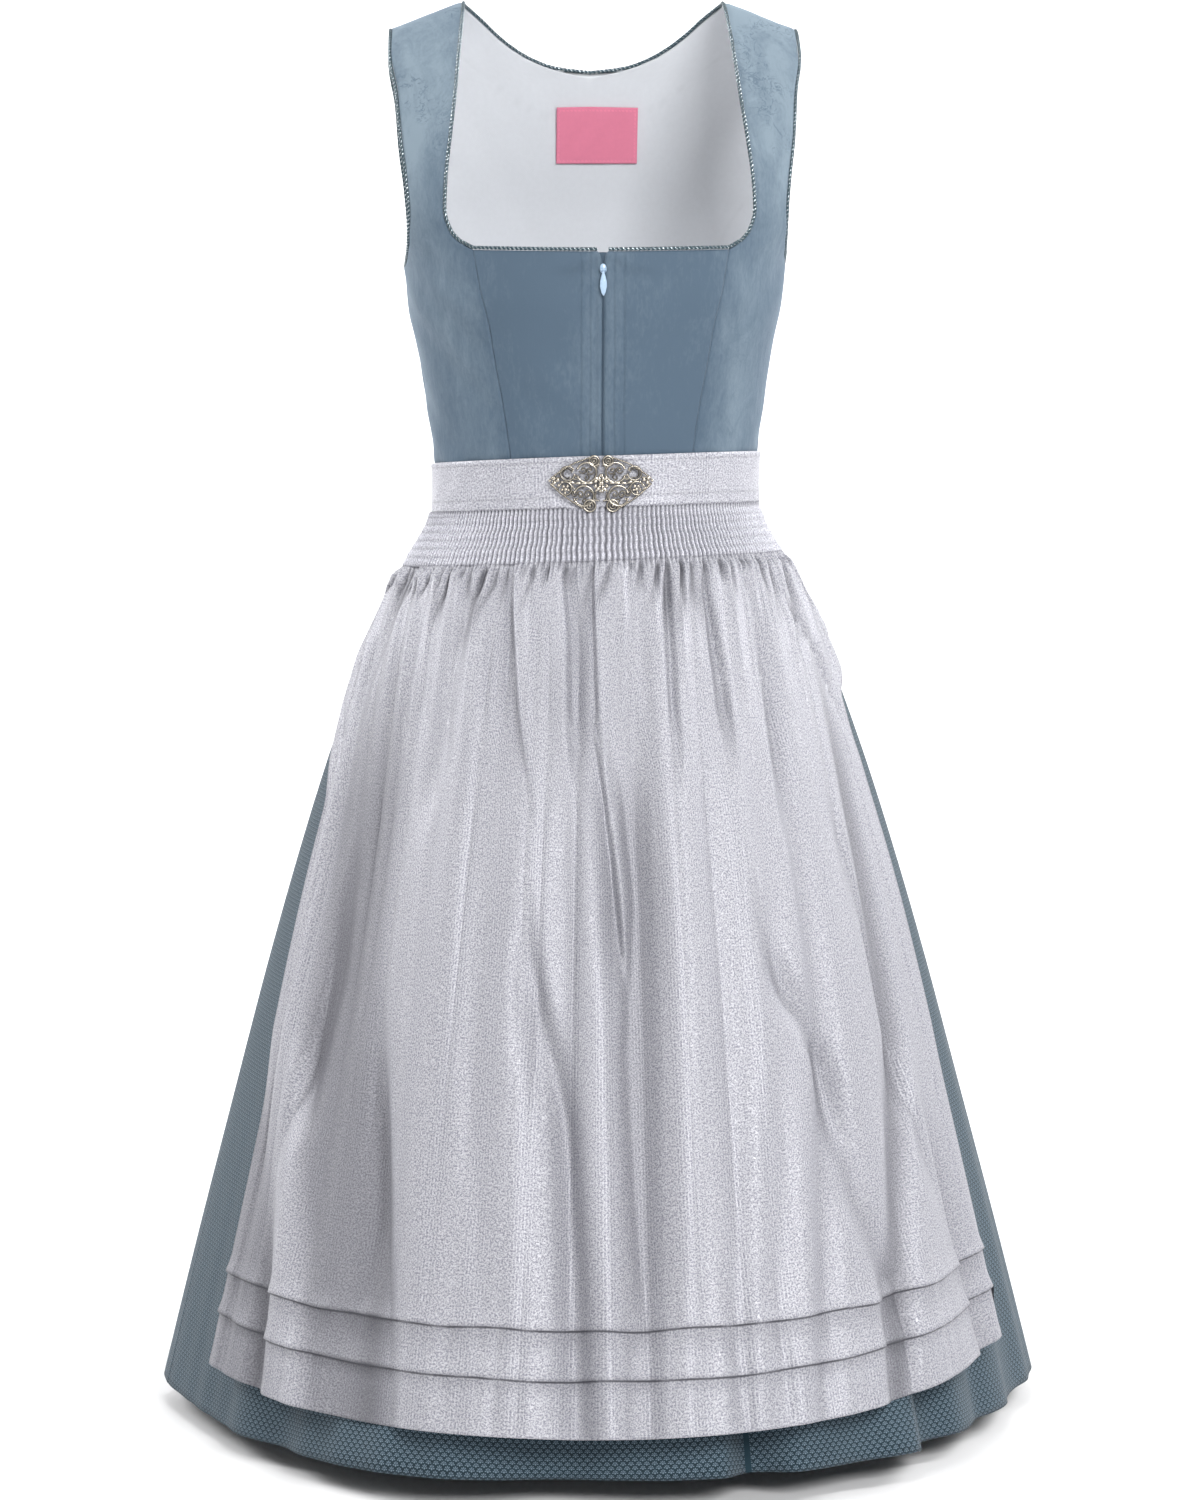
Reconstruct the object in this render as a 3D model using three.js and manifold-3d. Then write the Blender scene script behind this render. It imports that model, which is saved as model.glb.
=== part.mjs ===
// A dirndl: a sleeveless velvet bodice with a concealed front zip, a gathered skirt, and an apron
// with a smocked head, a waistband and a two-part openwork clasp.
// Millimetres, +Z up. The front faces -Y, and +X is the right-hand side seen from the front.
// The origin lies midway between the two shoulder straps, at the height of their undersides.
//
// Two co-ordinates name a place on the garment: "turn", the angle in degrees from the front centre
// towards +X (90 is the side, 180 the back centre), and "drop", the distance below the shoulder line.

import * as THREE from 'three';
import { mergeVertices } from 'three/addons/utils/BufferGeometryUtils.js';
import Module from 'manifold-3d';

// ---------------------------------------------------------------- driving dimensions
const SEAM = 0.3; // gap between neighbouring pieces
const VELVET = 1.5; // wall of the bodice panels
const LINING = 1.0;
const BAND = 2.0; // wall of the apron waistband
const SKIRT_CLOTH = 1.2;
const APRON_CLOTH = 1.2;
const PIPING_RADIUS = 1.3;
const PIPING_PROUD = 0.5; // how far the piping stands out from the velvet

const UNDERARM = 188; // drop of the lowest point of the armhole
const NECK_CORNER = 180; // drop where the neckline meets the front princess seam
const NECK_LOW = 182.6; // drop of the neckline at the front centre
const BACK_NECK = 45; // drop of the neckline at the back centre
const BACK_SEAM_TOP = 118; // drop where the back princess seam leaves the armhole
const WAIST = 352; // drop of the seam between bodice and skirt
const HEM = 1033;

// Strap tops: the height at their inner edge, the slopes to either side of it, the drop they fade over.
const SHOULDER = { inner: 99, height: 10.6, slope: 0.375, neckSlope: 0.1, fade: 120 };
const BELT = { middle: 349, half: 19, rise: 4 }; // waistband: middle, half width, rise to one side
const SMOCK_END = 408; // drop of the last smocking row
const SMOCK_TILT = { height: 5, from: 480, over: 60 }; // its rows are higher on the right
// Ribs of the smocking, as distances out from the form; under the band they are flatter.
const SMOCK = { ribs: 104, inner: 1.0, valley: 2.5, ridge: 4.4, topValley: 2.0, topRidge: 2.9, full: 388 };

// The form: a closed ring at each drop, with its half width, its depth to the front and to the
// back, and the power of its outline (2 is an ellipse, more is squarer).
const FORM = [
  { drop: 0, half: 200, front: 0, back: 0, power: 2.3 },
  { drop: 20, half: 197, front: 38, back: 35, power: 2.3 },
  { drop: 50, half: 192, front: 62, back: 56, power: 2.3 },
  { drop: 95, half: 182, front: 88, back: 78, power: 2.3 },
  { drop: 145, half: 165, front: 109, back: 93, power: 2.3 },
  { drop: 188, half: 143, front: 121, back: 98, power: 2.3 },
  { drop: 212, half: 141, front: 121, back: 98, power: 2.3 },
  { drop: 257, half: 132, front: 112, back: 95, power: 2.3 },
  { drop: 290, half: 127, front: 105, back: 92, power: 2.3 },
  { drop: 325, half: 122.5, front: 99.5, back: 90.5, power: 2.3 },
  { drop: 352, half: 120.8, front: 97.5, back: 90, power: 2.3 },
  { drop: 372, half: 122, front: 99.5, back: 92.5, power: 2.2 },
  { drop: 408, half: 140, front: 119, back: 112, power: 2.1 },
  { drop: 440, half: 157, front: 138, back: 133, power: 2.05 },
  { drop: 476, half: 174, front: 158, back: 154, power: 2 },
  { drop: 552, half: 202, front: 191, back: 188, power: 2 },
  { drop: 628, half: 226, front: 216, back: 214, power: 2 },
  { drop: 705, half: 248, front: 240, back: 240, power: 2 },
  { drop: 820, half: 278, front: 271, back: 273, power: 2 },
  { drop: 936, half: 307.5, front: 302, back: 304, power: 2 },
  { drop: 1033, half: 331, front: 327, back: 329, power: 2 },
];

// Edges of the bodice panels, as distances from the centre plane.
const ARMHOLE = [
  { drop: 0, x: 151 },
  { drop: 25, x: 151.7 },
  { drop: 60, x: 147 },
  { drop: 95, x: 144.5 },
  { drop: 125, x: 141 },
  { drop: 152, x: 139.3 },
  { drop: 172, x: 140 },
  { drop: 184, x: 142 },
  { drop: 188, x: 143 },
];
const NECK_FRONT = [
  { drop: 0, x: 99 },
  { drop: 31, x: 103 },
  { drop: 67, x: 107 },
  { drop: 94, x: 110.5 },
  { drop: 129, x: 114.5 },
  { drop: 150, x: 115.4 },
  { drop: 165, x: 111.5 },
  { drop: 172, x: 106.5 },
  { drop: 177, x: 100.5 },
  { drop: 180, x: 94 },
];
const NECK_BACK = [
  { drop: 0, x: 99 },
  { drop: 10, x: 85 },
  { drop: 20, x: 72.5 },
  { drop: 30, x: 57 },
  { drop: 37, x: 42 },
  { drop: 42, x: 25 },
  { drop: 45, x: 0 },
];
const PRINCESS_FRONT = [
  { drop: 180, x: 94 },
  { drop: 211, x: 88.6 },
  { drop: 234, x: 83 },
  { drop: 265, x: 77.8 },
  { drop: 295, x: 72.3 },
  { drop: 326, x: 68 },
  { drop: 352, x: 66 },
];
const PRINCESS_BACK = [
  { drop: 118, x: 138 },
  { drop: 145, x: 112 },
  { drop: 188, x: 92 },
  { drop: 240, x: 78 },
  { drop: 300, x: 66 },
  { drop: 352, x: 62 },
];

// Folds of the skirt at its hem: where each lies, and how far it stands out from the form.
const SKIRT_FOLDS = [
  { turn: -90, out: 0 },
  { turn: -78, out: -16 },
  { turn: -67, out: -20 },
  { turn: -57, out: -12 },
  { turn: -50, out: -17 },
  { turn: -43, out: -4 },
  { turn: -36, out: 8 },
  { turn: -29, out: 16 },
  { turn: -22, out: 19 },
  { turn: -14, out: 5 },
  { turn: -8, out: -7 },
  { turn: -2, out: -3 },
  { turn: 5, out: 8 },
  { turn: 11, out: 11 },
  { turn: 16, out: -9 },
  { turn: 21, out: 12 },
  { turn: 30, out: 4 },
  { turn: 38, out: 10 },
  { turn: 44, out: -17 },
  { turn: 52, out: -11 },
  { turn: 60, out: -21 },
  { turn: 68, out: -13 },
  { turn: 76, out: -18 },
  { turn: 84, out: -4 },
  { turn: 90, out: 2 },
  { turn: 98, out: 8 },
  { turn: 106, out: -10 },
  { turn: 115, out: 14 },
  { turn: 124, out: -9 },
  { turn: 133, out: 11 },
  { turn: 143, out: -15 },
  { turn: 152, out: 16 },
  { turn: 161, out: -6 },
  { turn: 170, out: 13 },
  { turn: 180, out: -11 },
  { turn: 189, out: 12 },
  { turn: 198, out: -15 },
  { turn: 208, out: 15 },
  { turn: 217, out: -8 },
  { turn: 226, out: 12 },
  { turn: 236, out: -15 },
  { turn: 246, out: 10 },
  { turn: 255, out: -8 },
  { turn: 263, out: 6 },
  { turn: 270, out: 0 },
];
// The apron presses the skirt in: how far, where this starts, where it ends, and how far sideways.
const PRESSED = { depth: 6, from: 440, over: 100, end: 970, fade: 120, turn: 62, edge: 14 };
const FOLD_TOP = 400; // drop where the skirt's large folds begin
const FOLD_GROWTH = 1.15; // power of their growth towards the hem
const SKIRT_GATHER = { depth: 5, start: 12, end: 560 }; // small gathers at the waist, dying out

// Folds of the apron, at full depth near its hem.
const APRON_FOLDS = [
  { turn: -98, out: 0 },
  { turn: -70, out: 0 },
  { turn: -57, out: 5 },
  { turn: -50, out: -6 },
  { turn: -44, out: 3 },
  { turn: -39, out: -8 },
  { turn: -26, out: 8 },
  { turn: -20, out: -2 },
  { turn: -16.5, out: 3 },
  { turn: -12.5, out: -2 },
  { turn: -9.5, out: 2 },
  { turn: -6.3, out: -5 },
  { turn: -2.8, out: 4 },
  { turn: 2.3, out: -6 },
  { turn: 9, out: 7 },
  { turn: 12.3, out: 2 },
  { turn: 15.5, out: 5 },
  { turn: 22, out: -3 },
  { turn: 28.5, out: 7 },
  { turn: 34, out: -4 },
  { turn: 39, out: 4 },
  { turn: 50, out: -8 },
  { turn: 55, out: 3 },
  { turn: 66, out: 0 },
  { turn: 98, out: 0 },
];
const APRON_FOLD_GROWTH = { from: 420, over: 260 };
const APRON_GATHER = { depth: 3, end: 520 };
// Distance off the skirt: at the waist, at the hem's sides and at its front; reach is in degrees.
const APRON_STAND = { near: 1, side: 3, front: 29, reach: 75, power: 0.95 };
const APRON_HEM = { drop: 1007, liftLeft: 17, liftRight: 31, from: 800 }; // the hem rises to its sides
const TUCKS = [936, 969]; // drops of the lower edges of the two tucks
const TUCK = { height: 15, start: 0.3, proud: 2.2, lip: 0.8 };

// Side edges of the apron, as turns.
const APRON_EDGE = [
  { drop: 352, left: -98, right: 98 },
  { drop: 408, left: -97, right: 96 },
  { drop: 445, left: -95, right: 90 },
  { drop: 480, left: -90, right: 80 },
  { drop: 514, left: -82, right: 69 },
  { drop: 555, left: -74, right: 67 },
  { drop: 590, left: -70, right: 66 },
  { drop: 730, left: -67.5, right: 63.5 },
  { drop: 1000, left: -66, right: 61.5 },
];

// ---------------------------------------------------------------- interpolation
// Smooth curve through a table's rows that never overshoots them (Fritsch and Carlson's slopes).
function curveThrough(rows, key, value, scale = (v) => v) {
  const xs = rows.map((row) => scale(row[key]));
  const ys = rows.map((row) => row[value]);
  const last = xs.length - 1;
  const steps = ys.slice(1).map((y, i) => (y - ys[i]) / (xs[i + 1] - xs[i]));
  const slopes = ys.map((y, i) => {
    if (i === 0) {
      return steps[0];
    }
    if (i === last) {
      return steps[last - 1];
    }
    const product = steps[i - 1] * steps[i];
    return product <= 0 ? 0 : (2 * product) / (steps[i - 1] + steps[i]);
  });
  return (v) => {
    const x = THREE.MathUtils.clamp(scale(v), xs[0], xs[last]);
    let i = 0;
    while (i < last - 1 && x > xs[i + 1]) {
      i += 1;
    }
    const width = xs[i + 1] - xs[i];
    const t = (x - xs[i]) / width;
    const hold = (1 + 2 * t) * (1 - t) * (1 - t) * ys[i] + t * t * (3 - 2 * t) * ys[i + 1];
    const lean = t * (1 - t) * (1 - t) * slopes[i] - t * t * (1 - t) * slopes[i + 1];
    return hold + width * lean;
  };
}

const rise = (t) => THREE.MathUtils.smoothstep(t, 0, 1);
const lerp = THREE.MathUtils.lerp;

// Near the shoulder line the depth grows with the square root of the drop, which rounds the straps.
const formHalf = curveThrough(FORM, 'drop', 'half', Math.sqrt);
const formFront = curveThrough(FORM, 'drop', 'front', Math.sqrt);
const formBack = curveThrough(FORM, 'drop', 'back', Math.sqrt);
const formPower = curveThrough(FORM, 'drop', 'power', Math.sqrt);
const armholeX = curveThrough(ARMHOLE, 'drop', 'x');
const neckFrontX = curveThrough(NECK_FRONT, 'drop', 'x');
const neckBackX = curveThrough(NECK_BACK, 'drop', 'x');
const princessFrontX = curveThrough(PRINCESS_FRONT, 'drop', 'x');
const princessBackX = curveThrough(PRINCESS_BACK, 'drop', 'x');
const skirtFold = curveThrough(SKIRT_FOLDS, 'turn', 'out');
const apronFold = curveThrough(APRON_FOLDS, 'turn', 'out');
const apronLeft = curveThrough(APRON_EDGE, 'drop', 'left');
const apronRight = curveThrough(APRON_EDGE, 'drop', 'right');

// ---------------------------------------------------------------- the form's surface
function strapLift(x, drop) {
  const fade = Math.max(0, 1 - drop / SHOULDER.fade) ** 2;
  const outward = Math.abs(x) - SHOULDER.inner;
  const slope = outward > 0 ? SHOULDER.slope : SHOULDER.neckSlope;
  return (SHOULDER.height - slope * outward) * fade;
}

function formPoint(turn, drop) {
  const angle = THREE.MathUtils.degToRad(turn);
  const power = 2 / formPower(drop);
  const across = Math.sin(angle);
  const ahead = Math.cos(angle);
  const depth = ahead > 0 ? formFront(drop) : formBack(drop);
  const x = formHalf(drop) * Math.sign(across) * Math.abs(across) ** power;
  const y = -depth * Math.sign(ahead) * Math.abs(ahead) ** power;
  return new THREE.Vector3(x, y, strapLift(x, drop) - drop);
}

function formNormal(turn, drop) {
  const turnStep = 0.4;
  const rootStep = 0.04;
  const root = Math.sqrt(drop);
  const along = formPoint(turn + turnStep, drop).sub(formPoint(turn - turnStep, drop));
  const below = formPoint(turn, (root + rootStep) ** 2);
  const down = below.sub(formPoint(turn, Math.max(0, root - rootStep) ** 2));
  return down.cross(along).normalize();
}

function onForm(turn, drop, out) {
  return formPoint(turn, drop).addScaledVector(formNormal(turn, drop), out);
}

// Turn of the place on a ring that lies a distance x from the centre plane.
function turnAt(x, drop, isBack) {
  const share = THREE.MathUtils.clamp(x / formHalf(drop), 0, 1);
  const turn = THREE.MathUtils.radToDeg(Math.asin(share ** (formPower(drop) / 2)));
  return isBack ? 180 - turn : turn;
}

// A turn moved along its ring by a distance in millimetres.
function shiftTurn(turn, drop, distance) {
  const perDegree = formPoint(turn + 0.5, drop).distanceTo(formPoint(turn - 0.5, drop));
  return turn + distance / perDegree;
}

// ---------------------------------------------------------------- walls from two grids
class Body {
  constructor() {
    this.positions = [];
    this.triangles = [];
  }

  grid(points) {
    return points.map((row) => row.map((p) => this.positions.push(p.x, p.y, p.z) / 3 - 1));
  }

  sheet(rows, flip) {
    for (let r = 0; r + 1 < rows.length; r += 1) {
      for (let c = 0; c + 1 < rows[r].length; c += 1) {
        const near = rows[r][c];
        const far = rows[r + 1][c + 1];
        const below = rows[r + 1][c];
        const beside = rows[r][c + 1];
        if (flip) {
          this.triangles.push(near, far, below, near, beside, far);
        } else {
          this.triangles.push(near, below, far, near, far, beside);
        }
      }
    }
  }

  // Closes the strip between an outer edge and an inner edge, which may have different counts.
  strip(outer, inner) {
    let i = 0;
    let j = 0;
    while (i + 1 < outer.length || j + 1 < inner.length) {
      const outerNext = (i + 1) / (outer.length - 1);
      const innerNext = (j + 1) / (inner.length - 1);
      if (j + 1 >= inner.length || (i + 1 < outer.length && outerNext <= innerNext + 1e-9)) {
        this.triangles.push(outer[i + 1], outer[i], inner[j]);
        i += 1;
      } else {
        this.triangles.push(outer[i], inner[j], inner[j + 1]);
        j += 1;
      }
    }
  }

  // A wall between an outer and an inner grid of points. open(side, from, to) leaves out a stretch
  // of edge that another patch of the same body closes; both grids then have the same counts.
  wall(outerPoints, innerPoints, open = null) {
    const outer = this.grid(outerPoints);
    const inner = this.grid(innerPoints);
    this.sheet(outer, false);
    this.sheet(inner, true);
    const sides = (rows) => ({
      left: rows.map((row) => row[0]),
      bottom: rows[rows.length - 1],
      right: rows.map((row) => row[row.length - 1]).reverse(),
      top: [...rows[0]].reverse(),
    });
    const outerSides = sides(outer);
    const innerSides = sides(inner);
    for (const side of Object.keys(outerSides)) {
      if (!open) {
        this.strip(outerSides[side], innerSides[side]);
        continue;
      }
      for (let k = 0; k + 1 < outerSides[side].length; k += 1) {
        const row = side === 'right' ? outer.length - 2 - k : k;
        if (!open(side, row)) {
          this.strip(outerSides[side].slice(k, k + 2), innerSides[side].slice(k, k + 2));
        }
      }
    }
  }

  geometry() {
    let volume = 0;
    const corner = (i) => new THREE.Vector3().fromArray(this.positions, 3 * this.triangles[i]);
    for (let i = 0; i < this.triangles.length; i += 3) {
      volume += corner(i).dot(corner(i + 1).cross(corner(i + 2)));
    }
    if (volume < 0) {
      this.triangles.reverse();
    }
    const raw = new THREE.BufferGeometry();
    raw.setAttribute('position', new THREE.Float32BufferAttribute(this.positions, 3));
    raw.setIndex(this.triangles);
    const merged = mergeVertices(raw, 2e-3);
    merged.computeVertexNormals();
    return merged;
  }
}

// A round bar of a few sides through the given points, mitred at each; a ring when closed.
function bar(body, points, radius, sides, closed = false) {
  const count = points.length;
  const wrap = (i) => (closed ? (i + count) % count : THREE.MathUtils.clamp(i, 0, count - 1));
  const at = (i) => points[wrap(i)];
  let across = null;
  const rings = points.map((point, i) => {
    const ahead = at(i + 1).clone().sub(at(i - 1)).normalize();
    if (!across) {
      const isSteep = Math.abs(ahead.y) < 0.9;
      across = new THREE.Vector3(isSteep ? 0 : 1, isSteep ? 1 : 0, 0).cross(ahead);
    }
    across = across.clone().addScaledVector(ahead, -across.dot(ahead)).normalize();
    const other = ahead.clone().cross(across);
    const ring = [];
    for (let k = 0; k < sides; k += 1) {
      const angle = (2 * Math.PI * k) / sides;
      const corner = point.clone().addScaledVector(across, radius * Math.cos(angle));
      ring.push(corner.addScaledVector(other, radius * Math.sin(angle)));
    }
    return ring;
  });
  const index = body.grid(rings);
  const last = closed ? count : count - 1;
  // A closed ring may come back turned, so its last joint picks the best match of the sides.
  let twist = 0;
  if (closed) {
    const misfit = (k) => rings[count - 1][0].distanceTo(rings[0][k]);
    for (let k = 1; k < sides; k += 1) {
      twist = misfit(k) < misfit(twist) ? k : twist;
    }
  }
  for (let i = 0; i < last; i += 1) {
    const turned = closed && i === count - 1 ? twist : 0;
    for (let k = 0; k < sides; k += 1) {
      const next = (k + 1) % sides;
      const a = index[i][k];
      const b = index[i][next];
      const c = index[(i + 1) % count][(next + turned) % sides];
      const d = index[(i + 1) % count][(k + turned) % sides];
      body.triangles.push(a, b, c, a, c, d);
    }
  }
  if (!closed) {
    for (let k = 1; k + 1 < sides; k += 1) {
      body.triangles.push(index[0][0], index[0][k + 1], index[0][k]);
      body.triangles.push(index[count - 1][0], index[count - 1][k], index[count - 1][k + 1]);
    }
  }
}

// ---------------------------------------------------------------- bodice patches
// Rows are drops, or functions from x to a drop for a row that follows the neckline.
const SHOULDER_LINE = 0.0004; // a drop just off zero, where the front and the back meet
const FRONT_SIDE_ROWS = [SHOULDER_LINE, 2, 8, 18, 34, 56, 82, 112, 146, 162, 171, 176, 180, 184, 188];
const LOWER_ROWS = [208, 240, 275, 312, WAIST];
const BACK_TOP_ROWS = [SHOULDER_LINE, 2, 8, 18, 28, 36, 42, 45, 54, 64, 83, 102, 117.7];
const BACK_LOWER_ROWS = [118, 132, 150, 168, 180, 184, 188, ...LOWER_ROWS];

const neckDrop = (x) => NECK_LOW - (NECK_LOW - NECK_CORNER) * (x / PRINCESS_FRONT[0].x) ** 2;

// Patches of the right half; columns are shares of the way from the left edge to the right edge.
const PATCHES = {
  frontSide: {
    rows: [...FRONT_SIDE_ROWS, ...LOWER_ROWS],
    columns: [0, 0.25, 0.5, 0.75, 1],
    left: (d) => turnAt(d < NECK_CORNER ? neckFrontX(d) : princessFrontX(d), d, false),
    right: (d) => (d < UNDERARM ? turnAt(armholeX(d), d, false) : 90),
  },
  frontCentre: {
    rows: [NECK_CORNER, 184, UNDERARM, ...LOWER_ROWS],
    columns: [0, 0.1, 0.35, 0.68, 1],
    left: () => 0,
    right: (d) => turnAt(princessFrontX(d), d, false),
    firstRow: neckDrop,
  },
  backCentre: {
    rows: [...BACK_TOP_ROWS, ...BACK_LOWER_ROWS],
    columns: [0, 0.34, 0.67, 1],
    left: (d) => turnAt(d < BACK_SEAM_TOP ? armholeX(d) : princessBackX(d), d, true),
    right: (d) => (d < BACK_NECK ? turnAt(neckBackX(d), d, true) : 180),
  },
  backSide: {
    rows: BACK_LOWER_ROWS,
    columns: [0, 0.33, 0.67, 1],
    left: (d) => (d < UNDERARM ? turnAt(armholeX(d), d, true) : 90),
    right: (d) => turnAt(princessBackX(d), d, true),
  },
};

// Grid of one patch, a distance out from the form; inset pulls its seam edges in.
function patchGrid(patch, out, inset = { left: 0, right: 0, top: 0 }, columns = patch.columns) {
  return patch.rows.map((row, r) => {
    const left = shiftTurn(patch.left(row), row, inset.left);
    const right = shiftTurn(patch.right(row), row, -inset.right);
    return columns.map((share) => {
      const turn = lerp(left, right, share);
      let drop = r === 0 ? row + inset.top : row;
      if (r === 0 && patch.firstRow) {
        drop = patch.firstRow(formPoint(turn, row).x);
      }
      return onForm(turn, drop, out);
    });
  });
}

const mirrored = (grid) => grid.map((row) => row.map((p) => new THREE.Vector3(-p.x, p.y, p.z)).reverse());

function velvetPanel(patch, inset, side) {
  const body = new Body();
  const grids = [patchGrid(patch, 0, inset), patchGrid(patch, -VELVET, inset)];
  const [outer, inner] = side < 0 ? grids.map(mirrored) : grids;
  body.wall(outer, inner);
  return body.geometry();
}

// The back is one panel across: two mirrored halves that share the points on the centre line.
function backPanel(outerOut, innerOut, patches, inset) {
  const body = new Body();
  for (const [name, patch] of patches) {
    const outer = patchGrid(patch, outerOut, inset);
    const inner = patchGrid(patch, innerOut, inset);
    const rows = patch.rows;
    const shared = (side, row) => {
      if (name === 'centre') {
        const joinsSide = patches.length > 1 && side === 'left' && rows[row] >= BACK_SEAM_TOP;
        return (side === 'right' && rows[row] >= BACK_NECK) || joinsSide;
      }
      return side === 'right';
    };
    const swapped = { left: 'right', right: 'left' };
    body.wall(outer, inner, shared);
    body.wall(mirrored(outer), mirrored(inner), (side, row) => shared(swapped[side] ?? side, row));
  }
  return body.geometry();
}

const LINING_OUT = -(VELVET + SEAM);
const LINING_IN = LINING_OUT - LINING;

// ---------------------------------------------------------------- piping
const PIPING_SIDES = 5;
const ZIP_GAP = 3.2; // from the centre to the end of the neck piping beside the zip

// The piping lies against a cut edge, on its open side, near the outer face.
function besideEdge(places) {
  const points = places.map(([turn, drop]) => onForm(turn, drop, PIPING_PROUD - PIPING_RADIUS));
  return points.map((point, i) => {
    const before = points[Math.max(0, i - 1)];
    const after = points[Math.min(points.length - 1, i + 1)];
    const along = after.clone().sub(before).normalize();
    const open = formNormal(...places[i]).cross(along).normalize();
    return point.clone().addScaledVector(open, SEAM + PIPING_RADIUS);
  });
}

function armholePiping(side) {
  const down = FRONT_SIDE_ROWS.filter((d) => d < UNDERARM);
  const onBack = (d) => d > SHOULDER_LINE && d < UNDERARM && d !== BACK_SEAM_TOP;
  const up = [...BACK_TOP_ROWS, ...BACK_LOWER_ROWS].filter(onBack).reverse();
  const places = [
    ...down.map((d) => [turnAt(armholeX(d), d, false), d]),
    [90, UNDERARM],
    ...up.map((d) => [turnAt(armholeX(d), d, true), d]),
  ];
  const points = besideEdge(places).map((p) => new THREE.Vector3(side * p.x, p.y, p.z));
  const body = new Body();
  bar(body, points, PIPING_RADIUS, PIPING_SIDES, true);
  return body.geometry();
}

function neckPiping() {
  const lowEdge = [ZIP_GAP, 20, 42, 64, 82].map((x) => [turnAt(x, neckDrop(x), false), neckDrop(x)]);
  const up = FRONT_SIDE_ROWS.filter((d) => d <= NECK_CORNER).reverse();
  const down = BACK_TOP_ROWS.filter((d) => d <= BACK_NECK && d > SHOULDER_LINE);
  const places = [
    ...lowEdge,
    ...up.map((d) => [turnAt(neckFrontX(d), d, false), d]),
    ...down.map((d) => [turnAt(neckBackX(d), d, true), d]),
  ];
  const right = besideEdge(places);
  const middle = right[right.length - 1];
  middle.x = 0;
  const left = right.slice(0, -1).map((p) => new THREE.Vector3(-p.x, p.y, p.z)).reverse();
  const body = new Body();
  bar(body, [...right, ...left], PIPING_RADIUS, PIPING_SIDES);
  return body.geometry();
}

// ---------------------------------------------------------------- band, label and tape
// A strip on the form between two turns, with its own upper and lower edge.
function stripOnForm(turns, rows, outerOut, innerOut) {
  const body = new Body();
  const grid = (out) => rows.map((row) => turns.map((turn) => onForm(turn, row(turn), out)));
  body.wall(grid(outerOut), grid(innerOut));
  return body.geometry();
}

const turnsBetween = (from, to, count) =>
  Array.from({ length: count + 1 }, (_, i) => lerp(from, to, i / count));

const BAND_OUT = 0.7; // clearance between the bodice and the waistband
const beltMiddle = (turn) => BELT.middle - BELT.rise * Math.sin(THREE.MathUtils.degToRad(turn));
const beltTop = (turn) => beltMiddle(turn) - BELT.half;
const beltBottom = (turn) => beltMiddle(turn) + BELT.half;

const BELT_MEET = { left: -1.4, right: -1.0, back: 179.9, columns: 34 }; // turns of the halves' ends

// The halves meet just left of the centre, under the clasp, and at the back.
function beltHalf(side) {
  const turns =
    side < 0
      ? turnsBetween(-BELT_MEET.back, BELT_MEET.left, BELT_MEET.columns)
      : turnsBetween(BELT_MEET.right, BELT_MEET.back, BELT_MEET.columns);
  return stripOnForm(turns, [beltTop, beltBottom], BAND_OUT + BAND, BAND_OUT);
}

const TAPE_INSET = 0.007; // share of the centre panel that the tape stays inside its first column

function zipTape() {
  const share = PATCHES.frontCentre.columns[1] - TAPE_INSET;
  const grid = (out) => {
    const half = patchGrid(PATCHES.frontCentre, out, undefined, [0, share]);
    return half.map((row) => [new THREE.Vector3(-row[1].x, row[1].y, row[1].z), row[0], row[1]]);
  };
  const body = new Body();
  body.wall(grid(LINING_OUT), grid(LINING_IN));
  return body.geometry();
}

const LABEL = { centre: 6, width: 62.7, top: 64, bottom: 102, gap: 1.0, thickness: 1.0 };

function neckLabel() {
  const drops = BACK_TOP_ROWS.filter((d) => d > LABEL.top && d < LABEL.bottom);
  const rows = [LABEL.top, ...drops, LABEL.bottom];
  const xs = [-0.5, -0.25, 0, 0.25, 0.5].map((share) => LABEL.centre + share * LABEL.width);
  const place = (x, drop) => (x < 0 ? 360 - turnAt(-x, drop, true) : turnAt(x, drop, true));
  const grid = (out) => rows.map((drop) => xs.map((x) => onForm(place(x, drop), drop, out)));
  const face = LINING_IN - LABEL.gap;
  const body = new Body();
  body.wall(grid(face), grid(face - LABEL.thickness));
  return body.geometry();
}

// ---------------------------------------------------------------- skirt
const HIP_ROWS = [408, 428, 465, 520]; // rows that the skirt and the apron share
const SKIRT_ROWS = [372, 388, ...HIP_ROWS, 600, 720, 870, HEM];
const foldGrowth = (drop) => Math.max(0, (drop - FOLD_TOP) / (HEM - FOLD_TOP)) ** FOLD_GROWTH;

function skirtGather(drop) {
  const { depth, start, end } = SKIRT_GATHER;
  return depth * rise((drop - WAIST) / start) * rise((end - drop) / (end - FOLD_TOP));
}

function pressedIn(turn, drop) {
  const height = rise((drop - PRESSED.from) / PRESSED.over) * rise((PRESSED.end - drop) / PRESSED.fade);
  const width = rise((PRESSED.turn - Math.abs(turn)) / PRESSED.edge);
  return PRESSED.depth * height * width;
}

function skirtPoint(turn, drop, out, isPleat) {
  const gather = isPleat ? -skirtGather(drop) : 0;
  const fold = skirtFold(turn) * foldGrowth(drop);
  return onForm(turn, drop, out + gather + fold - pressedIn(turn, drop));
}

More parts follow.
